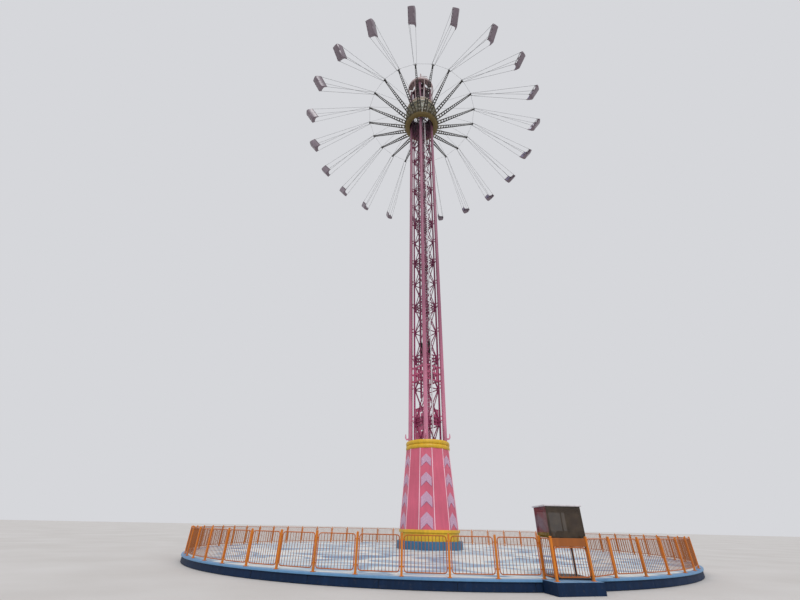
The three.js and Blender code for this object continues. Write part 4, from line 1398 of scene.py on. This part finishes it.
def arm_web():
    """Girder along +y: the cells in a row, drawn together with the taper, and a plain plate at each end."""
    web = web_cell()
    web.data.transform(Matrix.Translation((0, 0.5, 0)))
    row = web.modifiers.new("row", "ARRAY")
    row.count, row.use_relative_offset, row.use_constant_offset = HOLES, False, True
    row.constant_offset_displace = (0, 1, 0)
    row.use_merge_vertices = True
    apply_modifiers(web)
    for vertex in web.data.vertices:
        s = row_at(vertex.co.y)
        vertex.co.x *= 2 * half_width(s)
        vertex.co.y = s
    for end, reach in ((FIRST, -0.012), (row_at(HOLES), ARM_LENGTH)):
        pick(web, lambda vertex: abs(vertex.co.y - end) < 0.0005, "vertices")
        bpy.ops.mesh.extrude_region_move(TRANSFORM_OT_translate={"value": (0, reach - end, 0)})
        bpy.ops.transform.resize(value=(half_width(reach) / half_width(end), 1, 1), center_override=(0, 0, 0))
        close_mesh(outward=False)
    thicken(web, 0.02)
    return web


print("one cell of the web is", round(PITCH, 3), "long at the root")

# %% Flanges
def flange_line(side):
    """Ends of one edge of the arm in the web's own plane."""
    return [(side * (half_width(s) - 0.01), s, 0) for s in (-0.012, ARM_LENGTH)]


def arm():
    parts = [arm_web()]
    for side in (-1, 1):
        start, end = flange_line(side)
        parts.append(bar(start, end, 0.02, 0.056, (0, 0, 1), 0.002))
    body = join("arm", parts)
    tilt = math.atan2(ARM_END.z - ARM_ROOT.z, -(ARM_END.y - ARM_ROOT.y))
    body.data.transform(Matrix.Translation(ARM_ROOT) @ Matrix.Rotation(math.pi, 4, "Z")
                        @ Matrix.Rotation(tilt, 4, "X"))
    return join("arm", [body, arm_lug()])


for end in flange_line(1):
    print("flange end", [round(v, 3) for v in end])


# %% Lug
def arm_lug():
    """Tip block with a pin hole: a circle whose edge is extruded out to a block's outline, then thickened."""
    deselect()
    bpy.ops.mesh.primitive_circle_add(vertices=12, radius=0.0215, fill_type="NOTHING",
                                      rotation=(math.pi / 2, 0, 0))
    piece = settle("lug")
    open_mesh()
    bpy.ops.mesh.extrude_edges_move(TRANSFORM_OT_translate={"value": (0, 0, 0)})
    close_mesh(outward=False)
    for vertex in piece.data.vertices:
        if vertex.select:
            a = math.atan2(vertex.co.z, vertex.co.x)
            reach = 0.036 / max(abs(math.cos(a)), abs(math.sin(a)))
            vertex.co.x, vertex.co.z = reach * math.cos(a), min(reach * math.sin(a), 0.036)
            if vertex.co.z > 0.035:
                vertex.co.x, vertex.co.z = vertex.co.x * 0.5, 0.118
            vertex.co.z = max(vertex.co.z, -0.039)
    thicken(piece, 0.066, rounding=0.003)
    piece.data.transform(Matrix.Translation((0, -TIP_R, TIP_Z))
                         @ Matrix.Rotation(math.radians(93.5), 4, "Z"))
    return piece


one_arm = arm()
bolt_plate = block("root", (0.24, 0.03, 0.22), (0, -0.986, 21.665), 0.006)
one_arm = join("arm", [one_arm, bolt_plate])
print("faces on one arm:", len(one_arm.data.polygons))

# %% All the arms
# Arm paint: olive at the root, then from 1.4 m out a dark tone that is painted shade, the shade on the arms'
# undersides.
ARM_OLIVE_AND_SHADE = graded_shade_paint("arm_steel_and_painted_shade", [(1.08, linear(92, 84, 62)), (1.4, linear(50, 46, 43))], across=True)

ROOT_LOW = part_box("arms_1")[0][2]
for third in range(3):
    arms = [copy_at(one_arm, about_mast(STEP * (7 * third + k))) for k in range(7)]
    root = curved_plate(0.9595, ROOT_LOW, ROOT_LOW + 0.35, 7 * STEP - 0.3, 0.033, 42)
    root.data.transform(about_mast(STEP * (7 * third + 3)))
    group = join("girder_arms_%d" % (third + 1), arms + [root])
    group.data.materials.append(ARM_OLIVE_AND_SHADE)
    smooth(group)
    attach(group, "rotor")
    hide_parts("arms_%d" % (third + 1))
bpy.data.objects.remove(one_arm)
print("arms", ARMS, "in 3 groups")

# %% [markdown]
# ## Stay ropes
# A thin rope joins all the tips in a ring, and one stay runs from each tip in to the stay ring. Each is a
# round tube between its two ends, with a small clamp at the tip.

# %% Stay ropes
ROPE_R = 0.005
LUG_TOP = TIP_Z + 0.1203
tip = Vector((0, -TIP_R, LUG_TOP + ROPE_R))
stay_end = Vector((0, -0.9, 23.13))
rope_parts = [tube(tip, stay_end, ROPE_R, 6),
              tube(tip, polar(TIP_R, STEP, tip.z), ROPE_R, 6),
              tube(tip - Vector((0, 0, 0.005)), tip + Vector((0, 0, 0.014)), 0.014, 8),
              tube(tip.lerp(stay_end, 0.02), tip.lerp(stay_end, 0.07), 0.008, 6)]
ropes = ring_of(join("rope", rope_parts), "stay_rope_ring", arm_angles)
ropes.data.materials.append(STEEL)
smooth(ropes)
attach(ropes, "rotor")
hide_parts("stay_ropes")
print("stay rope faces", len(ropes.data.polygons))


# %% [markdown]
# ## Seats
# A double seat is two moulded shells side by side: rounded backs, a curved bottom, side walls, and bars in
# front. One seat is modelled hanging straight down from its pin at the origin. A shell is one edge that is
# extruded along the seat's side outline and given its wall by a Solidify modifier. A side wall is a flat
# outline, thickened and rounded by a bevel, and the cushions are blocks whose middle is raised. The copies
# are turned out to the flying angle and set on the 21 arm tips.

# %% Seat sizes
DROP = 3.82
SEAT_HALF = 0.34
SEAT_PITCH = 0.33
SWING, TRAIL = 54.4, 3.5
SHELL_LINE = [(0.168, 0.2), (0.172, 0.06), (0.155, -0.09), (0.118, -0.165), (0.03, -0.178), (-0.08, -0.174),
              (-0.165, -0.155), (-0.176, -0.13)]
CHEEK_LINE = [(0.17, 0.2), (0.174, 0.06), (0.157, -0.09), (0.12, -0.168), (0.03, -0.18), (-0.08, -0.176),
              (-0.168, -0.157), (-0.18, -0.13), (-0.176, -0.08), (-0.15, -0.03), (-0.05, 0.0), (0.05, 0.02),
              (0.1, 0.06), (0.122, 0.13), (0.135, 0.19), (0.15, 0.21)]
print("seat hangs", DROP, "under its pin")


# %% Shell and side walls
def tub(centre, width):
    """One moulded seat: an edge as wide as the seat, extruded along the side outline."""
    deselect()
    bpy.ops.mesh.primitive_plane_add(size=1)
    piece = settle("tub")
    open_mesh()
    bpy.ops.mesh.delete(type="ONLY_FACE")
    close_mesh(outward=False)
    for vertex in piece.data.vertices:
        vertex.co = (math.copysign(width / 2, vertex.co.x), *SHELL_LINE[0])
    open_mesh()
    bpy.ops.mesh.remove_doubles(threshold=0.0001)
    for (y0, z0), (y1, z1) in zip(SHELL_LINE, SHELL_LINE[1:]):
        bpy.ops.mesh.extrude_edges_move(TRANSFORM_OT_translate={"value": (0, y1 - y0, z1 - z0)})
    close_mesh(outward=False)
    piece.data.transform(Matrix.Translation((centre, 0, -DROP)))
    return piece


def side_cheek(x):
    """Rounded side wall between the two seats or at their ends."""
    deselect()
    bpy.ops.mesh.primitive_circle_add(vertices=len(CHEEK_LINE), radius=1, fill_type="NGON")
    piece = settle("cheek")
    for vertex, (y, z) in zip(piece.data.vertices, CHEEK_LINE):
        vertex.co = (0, y, z)
    thicken(piece, 0.03, rounding=0.009, segments=2)
    piece.data.transform(Matrix.Translation((x, 0, -DROP)))
    return piece


print("points along a shell", len(SHELL_LINE), "and round a side wall", len(CHEEK_LINE))

# %% Cushions
def cushion(name, size, at, turn):
    """Thin crowned pad on the shell: a subdivided block, its middle raised and its sides drawn in at the
    corners.
    """
    deselect()
    bpy.ops.mesh.primitive_cube_add(size=1)
    bpy.context.object.scale = size
    piece = settle(name)
    open_mesh()
    bpy.ops.mesh.subdivide(number_cuts=3)
    close_mesh(outward=False)
    for vertex in piece.data.vertices:
        u, v = vertex.co.x / size[0] * 2, vertex.co.y / size[1] * 2
        vertex.co.z *= 0.45 + 0.55 * (1 - u * u) * (1 - v * v)
        vertex.co.x *= 1 - 0.06 * v * v
        vertex.co.y *= 1 - 0.06 * u * u
    piece.data.transform(Matrix.Translation(at) @ Matrix.Rotation(turn, 4, "X"))
    return smooth(piece, 60)


print("a cushion has", 6 * 4 * 4, "faces")


# %% One double seat
def double_seat():
    shells, pads, frames, cables = [], [], [], []
    for centre in (-SEAT_PITCH / 2, SEAT_PITCH / 2):
        shell = tub(centre, SEAT_PITCH + 0.005)
        wall = shell.modifiers.new("even_wall", "SOLIDIFY")
        wall.thickness, wall.offset, wall.use_even_offset = 0.022, -1, True
        edge = shell.modifiers.new("edge", "BEVEL")
        edge.width, edge.limit_method, edge.angle_limit = 0.006, "ANGLE", math.radians(50)
        apply_modifiers(shell)
        shells.append(shell)
        pads.append(cushion("back_pad", (0.25, 0.25, 0.03), (centre, 0.138, -DROP + 0.04), math.radians(94)))
        pads.append(cushion("seat_pad", (0.25, 0.2, 0.03), (centre, -0.02, -DROP - 0.148), math.radians(2)))
        for side in (-0.09, 0.09):
            x = centre + side
            frames.append(tube((x, -0.12, -DROP - 0.17), (x, -0.16, -DROP - 0.155), 0.011, 8))
    for x in (-SEAT_HALF + 0.016, 0, SEAT_HALF - 0.016):
        shells.append(side_cheek(x))
    for gap, y, z, radius in ((0.01, -0.13, -DROP, 0.012), (0.005, 0.163, 0.15 - DROP, 0.013)):
        frames.append(tube((gap - SEAT_HALF, y, z), (SEAT_HALF - gap, y, z), radius, 10))
    frames.append(tube((0, -0.09, 0), (0, 0.09, 0), 0.0165, 12))
    frames.append(block("yoke", (0.03, 0.155, 0.022), (0, 0, 0), 0.004))
    for side in (-1, 1):
        x = side * (SEAT_HALF - 0.0125)
        for y, end in ((0.075, (x, 0.145, -DROP + 0.15)), (-0.075, (x, -0.155, -DROP - 0.06))):
            start, finish = Vector((side * 0.00575, y, 0)), Vector(end)
            cables.append(tube(start, finish, 0.0062, 6))
            frames.append(tube(finish, finish + (start - finish).normalized() * 0.09, 0.009, 8))
    finished = []
    for name, parts, material in (("shell", shells, SEAT_SHELL), ("pad", pads, SEAT_PANEL),
                                  ("bars", frames, DARK_STEEL), ("cables", cables, STEEL)):
        finished.append(join(name, parts))
        finished[-1].data.materials.append(material)
    return smooth(join("double_seat", finished), 40)


seat = double_seat()
print("faces on one seat:", len(seat.data.polygons))

# %% All the seats
for k in range(ARMS):
    angle = STEP * k
    place = (Matrix.Translation(polar(TIP_R, angle, TIP_Z)) @ about_mast(angle - 90 + TRAIL)
             @ Matrix.Rotation(-math.radians(SWING), 4, "Y"))
    twin = copy_at(seat, place)
    twin.name = twin.data.name = "swing_seat_%02d" % (k + 1)
    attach(twin, "chair_%02d" % (k + 1))
    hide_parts("chair_%02d" % (k + 1))
bpy.data.objects.remove(seat)
print("seats", ARMS)


# %% [markdown]
# ## Fence
# Square posts with caps carry panels in a deeper orange: the fence has one orange paint, and its posts are
# painted lighter, as painted light, and its upright bars and the guard's band darker, as painted shade. A
# panel is a round-cornered tube frame with upright bars, held to the posts by small lugs. The frame starts
# as a plane whose corners are rounded by a vertex bevel; the face is inset, its middle deleted, and a
# Solidify modifier gives the tube its depth. One panel is modelled between two posts and copied along the
# rim.

# %% Fence sizes
FENCE_R = 6.735
FENCE_START, FENCE_END = 31.05, 379.6
FENCE_BAYS = 56
FENCE_PITCH = (FENCE_END - FENCE_START) / FENCE_BAYS
FENCE_H = 0.565
POST_W = 0.032
BAY_W = 2 * FENCE_R * math.sin(math.radians(FENCE_PITCH / 2))
FENCE_Z = DECK_Z + 0.0003
print("fence bays", FENCE_BAYS, "each", round(BAY_W, 3), "wide")


# %% Fence post
def coated(piece, material):
    piece.data.materials.clear()
    piece.data.materials.append(material)
    return piece


def fence_post(height=FENCE_H):
    """Square post with a base plate, a drawn-in neck and a rounded cap."""
    deselect()
    bpy.ops.mesh.primitive_plane_add(size=POST_W, location=(0, 0, FENCE_Z))
    piece = settle("post")
    open_mesh()
    for drop, width in ((0.026, POST_W), (0.024, 0.024), (0.02, 0.024), (0.018, POST_W), (0.01, POST_W),
                        (0.003, 0.022), (0.0005, 0.01)):
        bpy.ops.mesh.extrude_region_move(TRANSFORM_OT_translate={"value": (0, 0, 0)})
        bpy.ops.object.mode_set(mode="OBJECT")
        for vertex in piece.data.vertices:
            if vertex.select:
                x, y = (math.copysign(width / 2, c) for c in vertex.co.xy)
                vertex.co = (x, y, FENCE_Z + height - drop)
        bpy.ops.object.mode_set(mode="EDIT")
    close_mesh()
    foot = block("foot", (0.066, 0.066, 0.008), (0, 0, FENCE_Z + 0.0043), 0.002)
    return coated(join("post", [piece, foot]), POST_ORANGE_LIT)


one_post = fence_post()
print("faces on a post", len(one_post.data.polygons))


# %% Fence panel
def rounded_frame(width, low, high, radius, thick, corner=3):
    """Round-cornered frame of square tube in the x-z plane, centred on x = 0."""
    deselect()
    bpy.ops.mesh.primitive_plane_add(size=1, rotation=(math.pi / 2, 0, 0))
    piece = settle("panel_frame")
    piece.data.transform(Matrix.Translation((0, 0, (low + high) / 2))
                         @ Matrix.Diagonal((width, 1, high - low, 1)))
    open_mesh()
    bpy.ops.mesh.bevel(offset=radius, segments=corner, affect="VERTICES")
    bpy.ops.mesh.select_all(action="SELECT")
    bpy.ops.mesh.inset(thickness=thick, depth=0)
    bpy.ops.mesh.delete(type="FACE")
    close_mesh(outward=False)
    thicken(piece, thick, rounding=thick * 0.28, angle=60)
    return piece


def panel(width, bars=11, low=0.045, high=0.538):
    """Fence panel in the x-z plane: frame, bars, and lugs out to the posts."""
    side = width - POST_W - 0.03
    parts = [coated(rounded_frame(side, FENCE_Z + low, FENCE_Z + high, 0.05, 0.015), FRAME_ORANGE)]
    for k in range(bars):
        x = side * ((k + 1) / (bars + 1) - 0.5)
        rod = tube((x, 0, FENCE_Z + low + 0.012), (x, 0, FENCE_Z + high - 0.012), 0.0048, 6)
        parts.append(coated(rod, BAR_ORANGE_SHADED))
    for x in (-1, 1):
        for lift in (low + 0.075, high - 0.075):
            lug = block("lug", (0.026, 0.012, 0.014), (x * (side / 2 + 0.008), 0, FENCE_Z + lift))
            parts.append(coated(lug, FRAME_ORANGE))
    return join("panel", parts)


one_panel = panel(BAY_W)
print("faces on a panel", len(one_panel.data.polygons))


# %% Fence round the rim
def between(first, second):
    """Matrix that lays a panel drawn along x between two ground points."""
    first, second = Vector(first), Vector(second)
    middle = (first + second) / 2
    turn = math.atan2(second.y - first.y, second.x - first.x)
    return Matrix.Translation((middle.x, middle.y, 0)) @ Matrix.Rotation(turn, 4, "Z")


for quarter in range(4):
    parts = []
    for k in range(14):
        angle = FENCE_START + FENCE_PITCH * (14 * quarter + k)
        parts.append(copy_at(one_post, about_mast(angle) @ Matrix.Translation((0, -FENCE_R, 0))))
        here, there = polar(FENCE_R, angle, 0), polar(FENCE_R, angle + FENCE_PITCH, 0)
        parts.append(copy_at(one_panel, between(here, there)))
    if quarter == 3:
        parts.append(copy_at(one_post, about_mast(FENCE_END) @ Matrix.Translation((0, -FENCE_R, 0))))
    run = join("rim_fence_%d" % (quarter + 1), parts)
    smooth(run, 30)
    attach(run, "base")
    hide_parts("fence_%d" % (quarter + 1))
bpy.data.objects.remove(one_panel)
print("fence bays placed", 4 * 14)

# %% Guard fence in front of the booth
GUARD_LEFT = Vector((2.3835, -6.6425, 0))
GUARD_RIGHT = Vector((2.954, -6.4085, 0))
last, first = polar(FENCE_R, FENCE_END, 0), polar(FENCE_R, FENCE_START, 0)
guard_turn = math.atan2(GUARD_RIGHT.y - GUARD_LEFT.y, GUARD_RIGHT.x - GUARD_LEFT.x)
span = (GUARD_RIGHT - GUARD_LEFT).length
parts = [copy_at(one_post, Matrix.Translation(at) @ Matrix.Rotation(guard_turn, 4, "Z"))
         for at in (GUARD_LEFT, GUARD_RIGHT)]
bpy.data.objects.remove(one_post)
guard = panel(span, 11, 0.045, 0.425)
# The guard's band takes the darker bar orange, painted shade.
guard_band = coated(block("band", (span - POST_W, 0.022, 0.11), (0, 0, DECK_Z + 0.4825), 0.004), BAR_ORANGE_SHADED)
guard = join("guard", [guard, guard_band])
guard.data.transform(between(GUARD_LEFT, GUARD_RIGHT))
left_bay = panel((GUARD_LEFT - last).length, 4)
left_bay.data.transform(between(last, GUARD_LEFT))
right_bay = panel((first - GUARD_RIGHT).length, 12)
right_bay.data.transform(between(GUARD_RIGHT, first))
booth_side = join("guard_fence", parts + [guard, left_bay, right_bay])
smooth(booth_side, 30)
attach(booth_side, "base")
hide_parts("booth_fence")
print("guard fence faces", len(booth_side.data.polygons))

# %% [markdown]
# ## Control booth
# A dark brown frame holds tinted panes above the sill, under a thin pale roof; below the sill only the legs
# show. The panes sit outside the frame, and their glass is half clear and a little dusty.

# %% Booth
BOOTH_AT = Vector((2.44, -6.36, 0))
BOOTH_TURN = math.radians(8)
BOOTH_W, BOOTH_D = 0.55, 0.625
BOOTH_TOP = DECK_Z + 0.975
SILL = DECK_Z + 0.55
LEG = 0.03
booth_place = Matrix.Translation(BOOTH_AT) @ Matrix.Rotation(BOOTH_TURN, 4, "Z")


def in_booth(name, piece, material, node_name):
    piece.name = piece.data.name = name
    piece.data.transform(booth_place)
    piece.data.materials.append(material)
    smooth(piece, 30)
    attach(piece, "base")
    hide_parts(node_name)
    return piece


FLOOR_LOW, FLOOR_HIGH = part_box("booth_floor")[0][2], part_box("booth_floor")[1][2]
floor_plate = block("floor", (BOOTH_W, BOOTH_D, FLOOR_HIGH - FLOOR_LOW),
                    (BOOTH_W / 2, BOOTH_D / 2, (FLOOR_LOW + FLOOR_HIGH) / 2), 0.003)
tread_rib = (BOOTH_W - 0.04, 0.012, 0.002)
ribs_across = [block("rib", tread_rib, (BOOTH_W / 2, 0.06 + 0.05 * k, FLOOR_HIGH + 0.0005))
               for k in range(11)]
in_booth("booth_tread", join("tread", [floor_plate] + ribs_across), DARK_STEEL, "booth_floor")
print("booth", BOOTH_W, "wide and", BOOTH_D, "deep")

# %% Booth frame
TOP_RAIL, TOP_RAIL_H = BOOTH_TOP - 0.035, 0.07
RAIL_W = LEG * 0.9
leg_height = BOOTH_TOP - FLOOR_HIGH - 0.001
parts = []
for x in (LEG / 2, BOOTH_W - LEG / 2):
    for y in (LEG / 2, BOOTH_D - LEG / 2):
        parts.append(block("leg", (LEG, LEG, leg_height), (x, y, (BOOTH_TOP + FLOOR_HIGH) / 2), 0.003))
for level, height in ((TOP_RAIL, TOP_RAIL_H), (SILL, 0.03)):
    parts.append(block("rail", (BOOTH_W - 0.002, RAIL_W, height), (BOOTH_W / 2, LEG / 2, level), 0.003))
    for x in (LEG / 2, BOOTH_W - LEG / 2):
        parts.append(block("rail", (RAIL_W, BOOTH_D - 0.002, height), (x, BOOTH_D / 2, level), 0.003))
back_rail = (BOOTH_W / 2, BOOTH_D - LEG / 2, TOP_RAIL)
parts.append(block("rail", (BOOTH_W - 0.002, RAIL_W, TOP_RAIL_H), back_rail, 0.003))
parts.append(block("mullion", (0.016, 0.02, BOOTH_TOP - SILL - 0.08),
                   (BOOTH_W * 0.42, LEG / 2, (BOOTH_TOP + SILL) / 2 - 0.03), 0.002))
parts.append(block("desk", (BOOTH_W - 0.06, 0.2, 0.02), (BOOTH_W / 2, 0.15, SILL - 0.02), 0.003))
parts.append(block("panel", (0.26, 0.12, 0.07), (BOOTH_W / 2, 0.13, SILL + 0.03), 0.01,
                   (math.radians(-20), 0, 0)))
in_booth("booth_posts", join("booth_posts", parts), BOOTH_BROWN, "booth_frame")
print("booth frame pieces", len(parts))


# %% Tinted panes
def pane_glass():
    material, tree, shader = new_material("tinted_glass")
    shader.inputs["Roughness"].default_value = 0.06
    shader.inputs["Alpha"].default_value = 0.78
    dust = steps(tree, noise(tree, object_coordinates(tree), 9.0, 4.0),
                 [(0.4, linear(58, 46, 34)), (0.7, linear(80, 66, 50))])
    tree.links.new(dust, shader.inputs["Base Color"])
    return material


PANE = pane_glass()
thick, off = 0.0075, 0.0079
pane_low, pane_high = SILL - 0.015, BOOTH_TOP - 0.0004
pane_h, pane_z = pane_high - pane_low, (pane_low + pane_high) / 2
panes = [block("pane", (BOOTH_W + 2 * off, thick, pane_h), (BOOTH_W / 2, -off + thick / 2, pane_z), 0.001)]
for x in (-off + thick / 2, BOOTH_W + off - thick / 2):
    panes.append(block("pane", (thick, BOOTH_D, pane_h), (x, BOOTH_D / 2 + 0.0002, pane_z), 0.001))
in_booth("booth_panes", join("panes", panes), PANE, "booth_glass")
print("panes from", round(pane_low, 3), "to", round(pane_high, 3))

# %% Booth roof
COVER_LOW, COVER_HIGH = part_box("booth_roof")[0][2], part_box("booth_roof")[1][2]
slab = block("slab", (BOOTH_W + 0.06, BOOTH_D + 0.06, COVER_HIGH - COVER_LOW),
             (BOOTH_W / 2, BOOTH_D / 2, (COVER_LOW + COVER_HIGH) / 2), 0.006)
seams = [block("seam", (0.008, BOOTH_D + 0.04, 0.004), (BOOTH_W * k / 4, BOOTH_D / 2, COVER_HIGH), 0.001)
         for k in range(1, 4)]
in_booth("booth_cover", join("cover", [slab] + seams), PALE, "booth_roof")
print("booth roof from", round(COVER_LOW, 3), "to", round(COVER_HIGH, 3))


# %% [markdown]
# ## Floor and light
# The ride stands on a wide pale floor under an even, bright sky of one soft grey. A large, weak sun behind
# the camera gives the painted sides a little shape, as thin cloud does.

# %% Floor
deselect()
bpy.ops.mesh.primitive_circle_add(vertices=96, radius=220, fill_type="NGON", location=(0, 0, -0.002))
floor = settle("floor")
floor_paint, floor_tree, floor_shader = new_material("pale_floor")
floor_tone = steps(floor_tree, noise(floor_tree, object_coordinates(floor_tree), 0.4, 5.0),
                   [(0.35, linear(196, 192, 188)), (0.7, linear(206, 203, 200))])
floor_tree.links.new(floor_tone, floor_shader.inputs["Base Color"])
floor_shader.inputs["Roughness"].default_value = 0.9
floor.data.materials.append(floor_paint)
print("floor radius", round(floor.dimensions.x / 2, 1))

# %% Sky and sun
SKY = linear(214, 215, 219)
world = bpy.data.worlds.new("sky")
world.use_nodes = True
world.node_tree.nodes["Background"].inputs["Color"].default_value = (*SKY, 1)
world.node_tree.nodes["Background"].inputs["Strength"].default_value = 1.0
bpy.context.scene.world = world

sun_data = bpy.data.lights.new("sun", "SUN")
sun_data.energy, sun_data.angle = 1.3, math.radians(25)
sun = bpy.data.objects.new("sun", sun_data)
sun.rotation_euler = (math.radians(38), math.radians(14), 0)
bpy.context.scene.collection.objects.link(sun)
bpy.context.scene.view_settings.view_transform = "Standard"
print("sky and sun are set")
